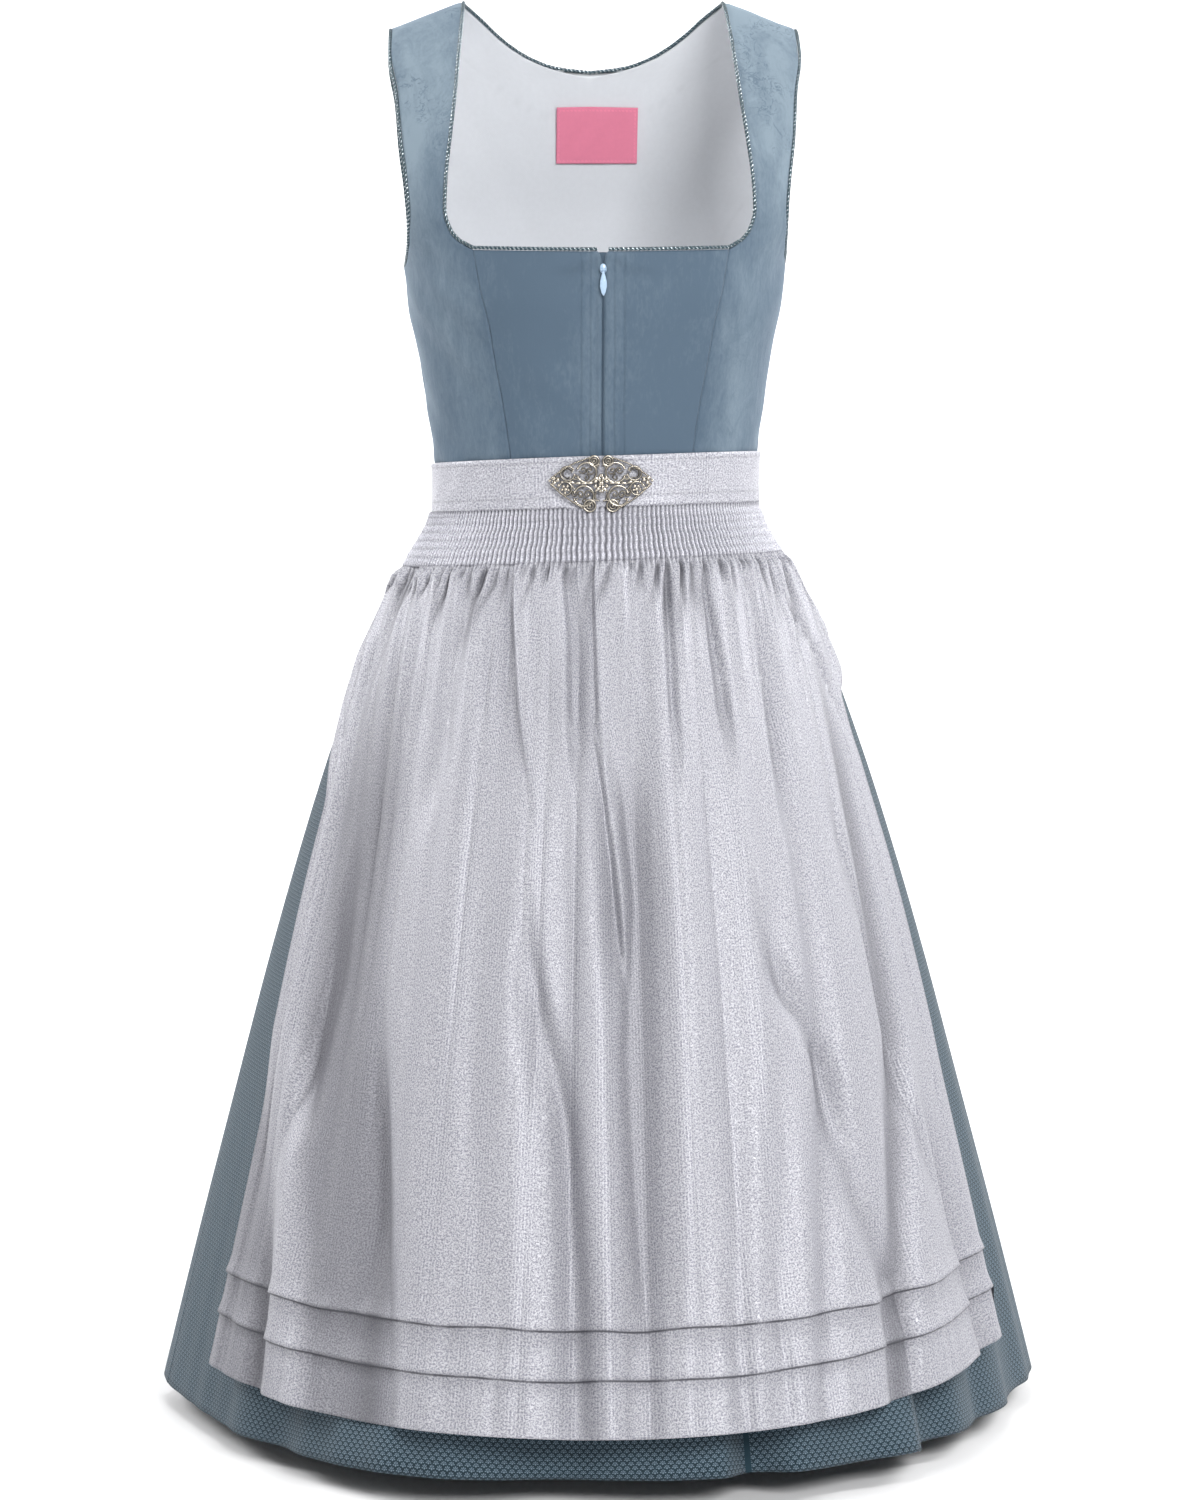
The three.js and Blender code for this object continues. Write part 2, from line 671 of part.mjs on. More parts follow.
// The back shows its gathers, every other column a pleat; the front is plain under the apron.
function skirtWidth(from, to, columns, gathered) {
  const inset = SEAM / 2;
  const rows = [WAIST + SEAM, ...SKIRT_ROWS];
  const grid = (out) =>
    rows.map((drop) => {
      const turns = turnsBetween(shiftTurn(from, drop, inset), shiftTurn(to, drop, -inset), columns);
      return turns.map((turn, c) => skirtPoint(turn, drop, out, gathered && c % 2 === 1));
    });
  const body = new Body();
  body.wall(grid(0), grid(-SKIRT_CLOTH));
  return body.geometry();
}

// ---------------------------------------------------------------- apron
function apronStand(turn, drop) {
  const { near, side, front, reach, power } = APRON_STAND;
  const down = Math.max(0, (drop - SMOCK_END) / (HEM - SMOCK_END)) ** power;
  const sideways = Math.min(Math.abs(turn) / reach, 1);
  return near + (side + front * Math.cos((sideways * Math.PI) / 2) ** 2) * down;
}

function apronPoint(turn, drop, out, isPleat) {
  const fold = apronFold(turn) * rise((drop - APRON_FOLD_GROWTH.from) / APRON_FOLD_GROWTH.over);
  const { depth, end } = APRON_GATHER;
  const gather = isPleat ? 0 : depth * rise((end - drop) / (end - SMOCK_END));
  return onForm(turn, drop, apronStand(turn, drop) + out + fold + gather);
}

const APRON_ROWS = [SMOCK_END + SEAM, ...HIP_ROWS.slice(1), 590, 690, 800];
const smockTop = (turn) => beltBottom(turn) + SEAM;

// The smocked head: ribs in the outer points over a plain inner face.
function smockedHead() {
  const ribColumns = 2 * SMOCK.ribs;
  const innerColumns = 32;
  const drops = [smockTop, () => SMOCK.full, (turn) => apronLevel(SMOCK_END, turn)];
  const turnsAt = (drop, columns) => turnsBetween(apronLeft(drop), apronRight(drop), columns);
  const outer = drops.map((drop, r) => {
    const [valley, ridge] = r === 0 ? [SMOCK.topValley, SMOCK.topRidge] : [SMOCK.valley, SMOCK.ridge];
    const turns = turnsAt(drop(0), ribColumns);
    return turns.map((turn, c) => onForm(turn, drop(turn), c % 2 === 1 ? ridge : valley));
  });
  const inner = drops.map((drop) => {
    const turns = turnsAt(drop(0), innerColumns);
    return turns.map((turn) => onForm(turn, drop(turn), SMOCK.inner));
  });
  const body = new Body();
  body.wall(outer, inner);
  return body.geometry();
}

// The apron hangs a little askew: its smocking and its hem are higher on the right.
function apronLevel(drop, turn) {
  const sideways = Math.sin(THREE.MathUtils.degToRad(turn));
  const edge = turn < 0 ? apronLeft(HEM) : apronRight(HEM);
  const lift = (turn < 0 ? APRON_HEM.liftLeft : APRON_HEM.liftRight) * Math.min(1, turn / edge) ** 2;
  const down = rise((drop - APRON_HEM.from) / (APRON_HEM.drop - APRON_HEM.from));
  const tilt = SMOCK_TILT.height * sideways * rise((SMOCK_TILT.from - drop) / SMOCK_TILT.over);
  return drop - tilt - lift * down;
}

// Rows of the panel: plain down to the tucks, then a step out and back at each tuck's edge.
function apronRows() {
  const rows = APRON_ROWS.map((drop) => ({ drop, out: 0 }));
  for (const tuck of TUCKS) {
    rows.push({ drop: tuck - TUCK.height, out: TUCK.start });
    rows.push({ drop: tuck, out: TUCK.proud });
    rows.push({ drop: tuck + TUCK.lip, out: 0 });
  }
  rows.push({ drop: APRON_HEM.drop, out: 0 });
  return rows;
}

const PANEL_COLUMNS = 74;
const PANEL_INNER_ROW = 900;

function apronPanel() {
  const row = ({ drop, out }, wall) =>
    turnsBetween(apronLeft(drop), apronRight(drop), PANEL_COLUMNS).map((turn, c) =>
      apronPoint(turn, apronLevel(drop, turn), out + wall, c % 2 === 1),
    );
  const outer = apronRows().map((entry) => row(entry, APRON_CLOTH));
  const innerDrops = [...APRON_ROWS, PANEL_INNER_ROW, APRON_HEM.drop];
  const inner = innerDrops.map((drop) => row({ drop, out: 0 }, 0));
  const body = new Body();
  body.wall(outer, inner);
  return body.geometry();
}

// ---------------------------------------------------------------- zip slider and pull tab
const ZIP = { drop: 191, plateWidth: 7, plateHeight: 9, plateDepth: 1.2 };
const BRIDGE = { below: 5.5, out: 3.4, pin: 0.6, cheek: 1.0, inside: 1.45, front: 1.05, back: 2.85, tall: 3 };
const PULL = { length: 20, width: 5.3, depth: 1.1, eye: 1.6, bore: 0.95, neck: 2.2, root: 2.6, broad: 10.5 };

const wasm = await Module();
wasm.setup();

function solid(geometry) {
  const bare = geometry.index ? geometry.toNonIndexed() : geometry.clone();
  bare.deleteAttribute('normal');
  bare.deleteAttribute('uv');
  const merged = mergeVertices(bare, 1e-4);
  return new wasm.Manifold(
    new wasm.Mesh({
      numProp: 3,
      vertProperties: new Float32Array(merged.attributes.position.array),
      triVerts: new Uint32Array(merged.index.array),
    }),
  );
}

function shape(manifold) {
  const mesh = manifold.getMesh();
  const geometry = new THREE.BufferGeometry();
  const stride = mesh.numProp;
  const positions = new Float32Array((mesh.vertProperties.length / stride) * 3);
  for (let i = 0; i < positions.length / 3; i += 1) {
    positions.set(mesh.vertProperties.slice(i * stride, i * stride + 3), 3 * i);
  }
  geometry.setAttribute('position', new THREE.BufferAttribute(positions, 3));
  geometry.setIndex(new THREE.BufferAttribute(new Uint32Array(mesh.triVerts), 1));
  geometry.computeVertexNormals();
  return geometry;
}

function joined(geometries) {
  return shape(geometries.map(solid).reduce((all, next) => all.add(next)));
}

function box(width, depth, height, x, y, z) {
  return new THREE.BoxGeometry(width, depth, height).translate(x, y, z);
}

// The bridge pin's middle is the slider group's origin: the pull tab turns on it.
function sliderBody() {
  const plateY = BRIDGE.out - ZIP.plateDepth / 2;
  const plateZ = BRIDGE.below - ZIP.plateHeight / 2;
  const plate = box(ZIP.plateWidth, ZIP.plateDepth, ZIP.plateHeight, 0, plateY, plateZ);
  const cheekX = BRIDGE.inside + BRIDGE.cheek / 2;
  const cheekDepth = BRIDGE.front + BRIDGE.back;
  const cheekY = (BRIDGE.back - BRIDGE.front) / 2;
  const cheeks = [-cheekX, cheekX].map((x) => box(BRIDGE.cheek, cheekDepth, BRIDGE.tall, x, cheekY, 0));
  const pin = new THREE.CylinderGeometry(BRIDGE.pin, BRIDGE.pin, 2 * cheekX, 12).rotateZ(Math.PI / 2);
  return joined([plate, ...cheeks, pin]);
}

// A leaf-shaped tab with a round eye; it hangs from the origin.
function pullTab() {
  const leaf = new THREE.Shape();
  const half = PULL.width / 2;
  const neck = PULL.neck / 2;
  const tip = -PULL.length + PULL.eye;
  const shoulder = { x: half * 1.12, y: -PULL.broad * 0.67 };
  const point = { x: half * 0.85, y: tip + 0.4 };
  leaf.moveTo(-neck, -PULL.bore);
  leaf.lineTo(-neck, -PULL.root);
  leaf.quadraticCurveTo(-shoulder.x, shoulder.y, -half, -PULL.broad);
  leaf.quadraticCurveTo(-point.x, point.y, 0, tip);
  leaf.quadraticCurveTo(point.x, point.y, half, -PULL.broad);
  leaf.quadraticCurveTo(shoulder.x, shoulder.y, neck, -PULL.root);
  leaf.lineTo(neck, -PULL.bore);
  const options = { depth: PULL.depth, bevelEnabled: false, curveSegments: 5 };
  const blade = new THREE.ExtrudeGeometry(leaf, options);
  blade.translate(0, 0, -PULL.depth / 2).rotateX(Math.PI / 2);
  const eye = new THREE.CylinderGeometry(PULL.eye, PULL.eye, PULL.neck, 14).rotateZ(Math.PI / 2);
  const bore = new THREE.CylinderGeometry(PULL.bore, PULL.bore, PULL.neck * 2, 14).rotateZ(Math.PI / 2);
  return shape(solid(blade).add(solid(eye)).subtract(solid(bore)));
}

// ---------------------------------------------------------------- clasp
// Right half in its own plane: u to the side, v up, in millimetres from the clasp's centre.
// off: the distance from the band that keeps its back clear of the smocking below.
const CLASP = { x: -1.3, drop: 350.3, wire: 0.95, bar: 0.85, split: 0.2, off: 1.7, beadProud: 0.3 };
const SCROLLS = [
  { u: 9.6, v: 8.2, radius: 6.4, from: 20, to: 330 },
  { u: 11.4, v: -8.1, radius: 7, from: 30, to: 340 },
  { u: 23.6, v: 6.4, radius: 4.6, from: 200, to: 500 },
  { u: 25.6, v: -4.4, radius: 4.2, from: 0, to: 360 },
  { u: 5.2, v: 17.4, radius: 3.2, from: 0, to: 360 },
  { u: 7.6, v: -17.8, radius: 3.7, from: 0, to: 360 },
];
const BORDER = [
  { u: 6.6, v: 20.2 },
  { u: 12.5, v: 17.8 },
  { u: 22, v: 12.2 },
  { u: 31, v: 8 },
  { u: 37.3, v: 1.5 },
  { u: 31, v: -6.3 },
  { u: 21, v: -13 },
  { u: 11, v: -20.2 },
];
const BEADS = [
  { u: 1.7, v: 4.6, size: 1.5 },
  { u: 4.2, v: 1.6, size: 1.73 },
  { u: 3.6, v: -1.6, size: 1.61 },
  { u: 1.8, v: -5.2, size: 1.61 },
  { u: 24, v: -2.6, size: 1.61 },
  { u: 27.3, v: -3, size: 1.61 },
  { u: 25.5, v: -6.6, size: 1.61 },
  { u: 32, v: 5, size: 1.61 },
  { u: 32.4, v: -0.9, size: 1.73 },
  { u: 35.4, v: 1.3, size: 1.61 },
];
const BARS = [
  { from: { u: 1.4, v: 0.2 }, to: { u: 36.8, v: 1.3 } },
  { from: { u: 1.6, v: 13.2 }, to: { u: 1.6, v: 0.2 } },
  { from: { u: 2.2, v: -12.8 }, to: { u: 1.7, v: 0.2 } },
  { from: { u: 1.6, v: 13.2 }, to: { u: 4, v: 15 } },
  { from: { u: 2.2, v: -12.8 }, to: { u: 5.6, v: -15 } },
];

function claspHalf(side) {
  const pieces = [];
  const wire = (points, radius, closed) => {
    const body = new Body();
    bar(body, points.map(([u, v]) => new THREE.Vector3(u, 0, v)), radius, 4, closed);
    pieces.push(body.geometry());
  };
  for (const scroll of SCROLLS) {
    const whole = scroll.to - scroll.from >= 360;
    const steps = scroll.radius > 5 ? 9 : 6;
    const angles = turnsBetween(scroll.from, scroll.to, steps).slice(0, whole ? -1 : undefined);
    const points = angles.map((degrees) => {
      const angle = THREE.MathUtils.degToRad(degrees);
      return [scroll.u + scroll.radius * Math.cos(angle), scroll.v + scroll.radius * Math.sin(angle)];
    });
    wire(points, CLASP.wire, whole);
  }
  wire(BORDER.map(({ u, v }) => [u, v]), CLASP.wire, false);
  for (const { from, to } of BARS) {
    wire([[from.u, from.v], [to.u, to.v]], CLASP.bar, false);
  }
  for (const bead of BEADS) {
    pieces.push(new THREE.OctahedronGeometry(bead.size, 0).translate(bead.u, -CLASP.beadProud, bead.v));
  }
  const geometry = joined(pieces);
  bendOntoBelt(geometry, side);
  return geometry;
}

// Lays the flat half on the band: each point moves back as far as the band's front curves away.
function bendOntoBelt(geometry, side) {
  const position = geometry.attributes.position;
  const back = CLASP.wire + CLASP.off;
  for (let i = 0; i < position.count; i += 1) {
    const x = CLASP.x + side * (position.getX(i) + CLASP.split);
    const turn = Math.sign(x) * turnAt(Math.abs(x), CLASP.drop, false);
    const edges = [beltTop(turn), beltBottom(turn)].map((drop) => onForm(turn, drop, BAND_OUT + BAND).y);
    const face = (edges[0] + edges[1]) / 2;
    position.setXYZ(i, x, face - back + position.getY(i), position.getZ(i) - CLASP.drop);
  }
  if (side < 0) {
    geometry.index.array.reverse();
  }
  geometry.computeVertexNormals();
}

// ---------------------------------------------------------------- materials
function finish(color, roughness, metalness = 0) {
  return new THREE.MeshStandardMaterial({ color, roughness, metalness });
}

const MATERIALS = {
  velvet: finish(0x6f8a9f, 0.8),
  lining: finish(0xc5cad6, 0.85),
  piping: finish(0x2f4a55, 0.5),
  label: finish(0xdc7f97, 0.7),
  print: finish(0x2f4f64, 0.9),
  satin: finish(0xbcbcc8, 0.45),
  band: finish(0xd0cfd6, 0.5),
  silver: finish(0xa39b8d, 0.35, 1),
  enamel: finish(0xa9bfd6, 0.35, 0.2),
};

// ---------------------------------------------------------------- assembly
const SKIRT_COLUMNS = { front: 44, back: 60 };
const dirndl = new THREE.Group();

function add(name, geometry, material, parent = dirndl) {
  const mesh = new THREE.Mesh(geometry, material);
  mesh.name = name;
  parent.add(mesh);
}

const SEAM_INSET = { left: SEAM / 2, right: SEAM / 2, top: 0 };

for (const [word, side] of [['left', -1], ['right', 1]]) {
  add(`bodice_front_centre_${word}`, velvetPanel(PATCHES.frontCentre, SEAM_INSET, side), MATERIALS.velvet);
  add(`bodice_front_side_${word}`, velvetPanel(PATCHES.frontSide, SEAM_INSET, side), MATERIALS.velvet);
  const inset = { ...SEAM_INSET, top: SEAM };
  add(`bodice_back_side_${word}`, velvetPanel(PATCHES.backSide, inset, side), MATERIALS.velvet);
  add(`piping_armhole_${word}`, armholePiping(side), MATERIALS.piping);
  add(`apron_belt_${word}`, beltHalf(side), MATERIALS.band);
  add(`clasp_${word}`, claspHalf(side), MATERIALS.silver);
}
const centreOnly = [['centre', PATCHES.backCentre]];
const backInset = { left: SEAM / 2, right: 0, top: 0 };
add('bodice_back_centre', backPanel(0, -VELVET, centreOnly, backInset), MATERIALS.velvet);
const wholeBack = [...centreOnly, ['side', PATCHES.backSide]];
const noInset = { left: 0, right: 0, top: 0 };
add('lining_back', backPanel(LINING_OUT, LINING_IN, wholeBack, noInset), MATERIALS.lining);
add('piping_neck', neckPiping(), MATERIALS.piping);
add('neck_label', neckLabel(), MATERIALS.label);
add('zip_tape', zipTape(), MATERIALS.lining);
add('skirt_front', skirtWidth(-90, 90, SKIRT_COLUMNS.front, false), MATERIALS.print);
add('skirt_back', skirtWidth(90, 270, SKIRT_COLUMNS.back, true), MATERIALS.print);
add('apron_smocking', smockedHead(), MATERIALS.satin);
add('apron_panel', apronPanel(), MATERIALS.satin);

const slider = new THREE.Group();
const sliderSeat = onForm(0, ZIP.drop + BRIDGE.below, SEAM + BRIDGE.out);
slider.position.copy(sliderSeat);
add('zip_slider', sliderBody(), MATERIALS.enamel, slider);
add('zip_pull', pullTab(), MATERIALS.enamel, slider);
dirndl.add(slider);

export default dirndl;
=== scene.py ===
"""Looks of a dirndl: velvet bodice, gathered print skirt, smocked satin apron and openwork clasp.

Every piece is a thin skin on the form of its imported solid. Lengths in the formulas are millimetres;
meshes are written in metres. "turn" is the angle in degrees from the front centre towards +X and
"drop" is the distance below the shoulder line.
"""

import math

import bpy
import numpy as np
from mathutils import Matrix, Vector


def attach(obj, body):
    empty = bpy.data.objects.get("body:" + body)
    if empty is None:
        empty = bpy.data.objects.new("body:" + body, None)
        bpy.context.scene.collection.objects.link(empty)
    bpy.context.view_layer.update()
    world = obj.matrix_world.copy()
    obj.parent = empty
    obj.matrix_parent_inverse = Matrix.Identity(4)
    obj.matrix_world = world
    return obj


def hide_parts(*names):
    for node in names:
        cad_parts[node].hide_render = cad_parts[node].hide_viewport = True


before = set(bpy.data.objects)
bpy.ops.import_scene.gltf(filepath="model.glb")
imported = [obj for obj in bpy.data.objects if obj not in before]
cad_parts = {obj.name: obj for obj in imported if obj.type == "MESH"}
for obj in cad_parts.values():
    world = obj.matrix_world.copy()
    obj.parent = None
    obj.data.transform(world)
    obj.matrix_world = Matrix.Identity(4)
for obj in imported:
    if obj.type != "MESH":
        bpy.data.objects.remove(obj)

bl_info = {
    "name": "Dirndl",
    "version": (1, 0, 0),
    "blender": (4, 5, 0),
    "location": "View3D > Sidebar > Dirndl",
    "description": "Builds a folk dress with apron and clasp as thin cloth skins",
    "category": "Add Mesh",
}

MM = 0.001
THREAD, FINE_LINE = 0.0007, 0.0024  # pitch of the weave's threads and of the satin's fine lines

# ---------------------------------------------------------------- form of the dress
# drop, half width, depth to the front, depth to the back, power of the ring's outline
FORM = np.array([
    (0, 200, 0, 0, 2.3), (20, 197, 38, 35, 2.3), (50, 192, 62, 56, 2.3), (95, 182, 88, 78, 2.3),
    (145, 165, 109, 93, 2.3), (188, 143, 121, 98, 2.3), (212, 141, 121, 98, 2.3),
    (257, 132, 112, 95, 2.3), (290, 127, 105, 92, 2.3), (325, 122.5, 99.5, 90.5, 2.3),
    (352, 120.8, 97.5, 90, 2.3), (372, 122, 99.5, 92.5, 2.2), (408, 140, 119, 112, 2.1),
    (440, 157, 138, 133, 2.05), (476, 174, 158, 154, 2), (552, 202, 191, 188, 2),
    (628, 226, 216, 214, 2), (705, 248, 240, 240, 2), (820, 278, 271, 273, 2),
    (936, 307.5, 302, 304, 2), (1033, 331, 327, 329, 2),
])
# edges of the bodice panels: drop, distance from the centre plane
ARMHOLE = np.array([(0, 151), (25, 151.7), (60, 147), (95, 144.5), (125, 141), (152, 139.3),
                    (172, 140), (184, 142), (188, 143)])
NECK_FRONT = np.array([(0, 99), (31, 103), (67, 107), (94, 110.5), (129, 114.5), (150, 115.4),
                       (165, 111.5), (172, 106.5), (177, 100.5), (180, 94)])
NECK_BACK = np.array([(0, 99), (10, 85), (20, 72.5), (30, 57), (37, 42), (42, 25), (45, 0)])
PRINCESS_FRONT = np.array([(180, 94), (211, 88.6), (234, 83), (265, 77.8), (295, 72.3),
                           (326, 68), (352, 66)])
PRINCESS_BACK = np.array([(118, 138), (145, 112), (188, 92), (240, 78), (300, 66), (352, 62)])
# folds: turn, distance out from the form at full depth
SKIRT_FOLDS = np.array([
    (-90, 0), (-78, -16), (-67, -20), (-57, -12), (-50, -17), (-43, -4), (-36, 8), (-29, 16),
    (-22, 19), (-14, 5), (-8, -7), (-2, -3), (5, 8), (11, 11), (16, -9), (21, 12), (30, 4),
    (38, 10), (44, -17), (52, -11), (60, -21), (68, -13), (76, -18), (84, -4), (90, 2), (98, 8),
    (106, -10), (115, 14), (124, -9), (133, 11), (143, -15), (152, 16), (161, -6), (170, 13),
    (180, -11), (189, 12), (198, -15), (208, 15), (217, -8), (226, 12), (236, -15), (246, 10),
    (255, -8), (263, 6), (270, 0),
])
APRON_FOLDS = np.array([
    (-98, -9), (-74, -8), (-67, -2), (-62, 1), (-56, -8), (-48, -10), (-41, -6), (-36, 2), (-31, 9),
    (-25, 9), (-21, 6), (-16, 8), (-11, 6), (-7.5, -1), (-4.5, 3), (-2.5, 4), (0.8, -3), (3.6, -4),
    (6.5, 4), (10, 8), (13, 4), (17, 2), (21, 7), (25, 3), (29, 7), (33, -2), (38, 5), (44, 4),
    (51, -8), (56, 3), (68, 0), (98, 0),
])
# side edges of the apron: drop, left turn, right turn
APRON_EDGE = np.array([(352, -98, 98), (408, -97, 96), (445, -95, 90), (480, -90, 80),
                       (514, -82, 69), (555, -74, 67), (590, -70, 66), (730, -67.5, 63.5),
                       (1000, -66, 61.5)])

SHOULDER = {"inner": 99, "height": 10.6, "slope": 0.375, "neck_slope": 0.1, "fade": 120}
# thickness of each cloth and the gap between neighbours
VELVET, LINING, BAND, CLOTH, SEAM = 1.5, 1.0, 2.0, 1.2, 0.3
UNDER_VELVET = -(VELVET + SEAM)
SEAM_GROOVE, BACK_GROOVE = (0.8, 0.7), (1.2, 1.3)  # depth and width of the dip at a seam
STITCH, STITCH_DEPTH = 2.6, 0.35
# drops of the bodice's corners and of the skirt's and the smocking's edges
UNDERARM, NECK_CORNER, NECK_LOW, BACK_NECK, BACK_SEAM_TOP = 188, 180, 182.6, 45, 118
WAIST, SMOCK_END, HEM = 352, 408, 1033
NECK_ROWS = 35  # grid steps from the shoulder line to the back neckline
BELT = {"middle": 349, "half": 19, "rise": 4, "out": 0.7, "radius": 115}
LABEL = {"middle": 6.0, "width": 62.7, "top": 64.0, "bottom": 102.0, "off_lining": 1.5}
ZIP_SEAT = (0.0, -124.7, -196.5)
COIL = {"pitch": 1.7, "swing": 0.75, "wire": 0.42}
CLASP = {"x": -1.3, "drop": 350.3, "back": 2.65}
WIRE = 1.3  # thickening of every wire in the clasp's tables
TUCKS, TUCK_HEIGHT, APRON_HEM = (936, 969), 15, 1007
RIBS, APRON_WIDTH = 124, 193


def rise(t):
    """Smooth step: 3t^2 - 2t^3 on 0..1."""
    t = np.clip(t, 0, 1)
    return t * t * (3 - 2 * t)


def bump(x, centre, width):
    """Bell curve: exp(-((x - centre) / width)^2)."""
    return np.exp(-(((x - centre) / width) ** 2))


def curve(rows, column=1, root=False):
    """Smooth curve through a table's rows that never overshoots them, over v or over sqrt(v)."""
    xs = np.sqrt(rows[:, 0]) if root else rows[:, 0].astype(float)
    ys = rows[:, column].astype(float)
    step = np.diff(ys) / np.diff(xs)
    product = step[:-1] * step[1:]
    total = np.where(step[:-1] + step[1:] == 0, 1, step[:-1] + step[1:])
    slope = np.r_[step[0], np.where(product > 0, 2 * product / total, 0), step[-1]]

    def at(v):
        v = np.asarray(v, float)
        x = np.clip(np.sqrt(np.maximum(v, 0)) if root else v, xs[0], xs[-1])
        i = np.clip(np.searchsorted(xs, x, side="left") - 1, 0, len(xs) - 2)
        width = xs[i + 1] - xs[i]
        t = (x - xs[i]) / width
        hold = (1 + 2 * t) * (1 - t) ** 2 * ys[i] + t * t * (3 - 2 * t) * ys[i + 1]
        lean = t * (1 - t) ** 2 * slope[i] - t * t * (1 - t) * slope[i + 1]
        return hold + width * lean

    return at


form_half, form_front, form_back, form_power = (curve(FORM, c, root=True) for c in (1, 2, 3, 4))
armhole_x, neck_front_x, neck_back_x = curve(ARMHOLE), curve(NECK_FRONT), curve(NECK_BACK)
princess_front_x, princess_back_x = curve(PRINCESS_FRONT), curve(PRINCESS_BACK)
skirt_fold, apron_fold = curve(SKIRT_FOLDS), curve(APRON_FOLDS)
apron_left, apron_right = curve(APRON_EDGE, 1), curve(APRON_EDGE, 2)


def neck_drop(x):
    """Drop of the front neckline: it dips by a parabola to the centre."""
    return NECK_LOW - (NECK_LOW - NECK_CORNER) * (x / PRINCESS_FRONT[0, 1]) ** 2


def strap_lift(x, drop):
    """Lift of the strap tops, fading down with (1 - drop / fade)^2."""
    fade = np.maximum(0, 1 - drop / SHOULDER["fade"]) ** 2
    outward = np.abs(x) - SHOULDER["inner"]
    slope = np.where(outward > 0, SHOULDER["slope"], SHOULDER["neck_slope"])
    return (SHOULDER["height"] - slope * outward) * fade


def form_point(turn, drop):
    """Point of the form: x = half sin^(2/p), y = -depth cos^(2/p), z = lift - drop."""
    angle = np.radians(turn)
    power = 2 / form_power(drop)
    across, ahead = np.sin(angle), np.cos(angle)
    depth = np.where(ahead > 0, form_front(drop), form_back(drop))
    x = form_half(drop) * np.sign(across) * np.abs(across) ** power
    y = -depth * np.sign(ahead) * np.abs(ahead) ** power
    return np.stack(np.broadcast_arrays(x, y, strap_lift(x, drop) - drop), -1)


def form_normal(turn, drop):
    """Unit normal of the form, from central differences along turn and drop."""
    root = np.sqrt(np.maximum(drop, 0))
    along = form_point(turn + 0.4, drop) - form_point(turn - 0.4, drop)
    lower = form_point(turn, (root + 0.04) ** 2)
    down = lower - form_point(turn, np.maximum(0, root - 0.04) ** 2)
    normal = np.cross(down, along)
    return normal / np.linalg.norm(normal, axis=-1, keepdims=True)


def on_form(turn, drop, out):
    """form_point + out * form_normal."""
    out = np.asarray(out, float)[..., None]
    return form_point(turn, drop) + form_normal(turn, drop) * out


def turn_at(x, drop, back=False):
    """Turn of the place at distance x from the centre plane: asin((x / half)^(p / 2))."""
    share = np.clip(np.abs(x) / form_half(drop), 0, 1)
    turn = np.degrees(np.arcsin(share ** (form_power(drop) / 2)))
    return 180 - turn if back else np.sign(x) * turn


def wander(x, seed, count=6):
    """Gentle irregular wave in -1..1: a mean of sines with seeded frequencies and phases."""
    low, high = 0.6, 3.0
    rng = np.random.default_rng(seed)
    total = 0
    for _ in range(count):
        total = total + np.sin(x * rng.uniform(low, high) + rng.uniform(0, 2 * np.pi))
    return total / count


# ---------------------------------------------------------------- meshes
def new_object(name, points, faces, uv=None, marks=None, slots=None):
    """Object from points in millimetres, a list of face arrays (quads or triangles), a uv per point
    in metres, float marks per point, and a material slot number per face array."""
    loops = np.concatenate([f.ravel() for f in faces]).astype(np.int32)
    sizes = np.concatenate([np.full(len(f), f.shape[1]) for f in faces])
    starts = np.r_[0, np.cumsum(sizes)[:-1]].astype(np.int32)
    mesh = bpy.data.meshes.new(name)
    mesh.vertices.add(len(points))
    mesh.vertices.foreach_set("co", (np.asarray(points) * MM).astype(np.float32).ravel())
    mesh.loops.add(len(loops))
    mesh.loops.foreach_set("vertex_index", loops)
    mesh.polygons.add(len(starts))
    mesh.polygons.foreach_set("loop_start", starts)
    if slots is not None:
        index = np.concatenate([np.full(len(f), s) for f, s in zip(faces, slots)])
        mesh.polygons.foreach_set("material_index", index.astype(np.int32))
    mesh.update(calc_edges=True)
    if uv is not None:
        layer = mesh.uv_layers.new(name="UVMap")
        layer.data.foreach_set("uv", np.asarray(uv, np.float32)[loops].ravel())
    for key, values in (marks or {}).items():
        layer = mesh.attributes.new(key, "FLOAT", "POINT")
        layer.data.foreach_set("value", np.asarray(values, np.float32).ravel())
    if mesh.validate():
        raise RuntimeError(f"{name}: the mesh had broken faces")
    mesh.polygons.foreach_set("use_smooth", np.full(len(starts), True))
    obj = bpy.data.objects.new(name, mesh)
    bpy.context.scene.collection.objects.link(obj)
    return obj


def grid_faces(index, flip=False):
    """Quads of a grid of point numbers."""
    a, b, c, d = index[:-1, :-1], index[1:, :-1], index[1:, 1:], index[:-1, 1:]
    order = (a, d, c, b) if flip else (a, b, c, d)
    return np.stack([v.ravel() for v in order], -1)


def zipper(outer, inner):
    """Triangles between two edges that may have different counts: steps along both, in order of
    the share of the edge that they reach."""
    n, m = len(outer) - 1, len(inner) - 1
    reached = np.r_[np.arange(1, n + 1) / n, np.arange(1, m + 1) / m + 1e-9]
    on_outer = np.r_[np.ones(n, bool), np.zeros(m, bool)][np.argsort(reached, kind="stable")]
    i, j = np.cumsum(on_outer), np.cumsum(~on_outer)
    i_before, j_before = i - on_outer, j - ~on_outer
    return np.stack([
        np.where(on_outer, outer[i], outer[i_before]),
        np.where(on_outer, outer[i_before], inner[j_before]),
        np.where(on_outer, inner[j_before], inner[j]),
    ], -1)


def picks(count, step):
    """Every step-th number below count, with the last one."""
    return np.unique(np.r_[0:count:step, count - 1])


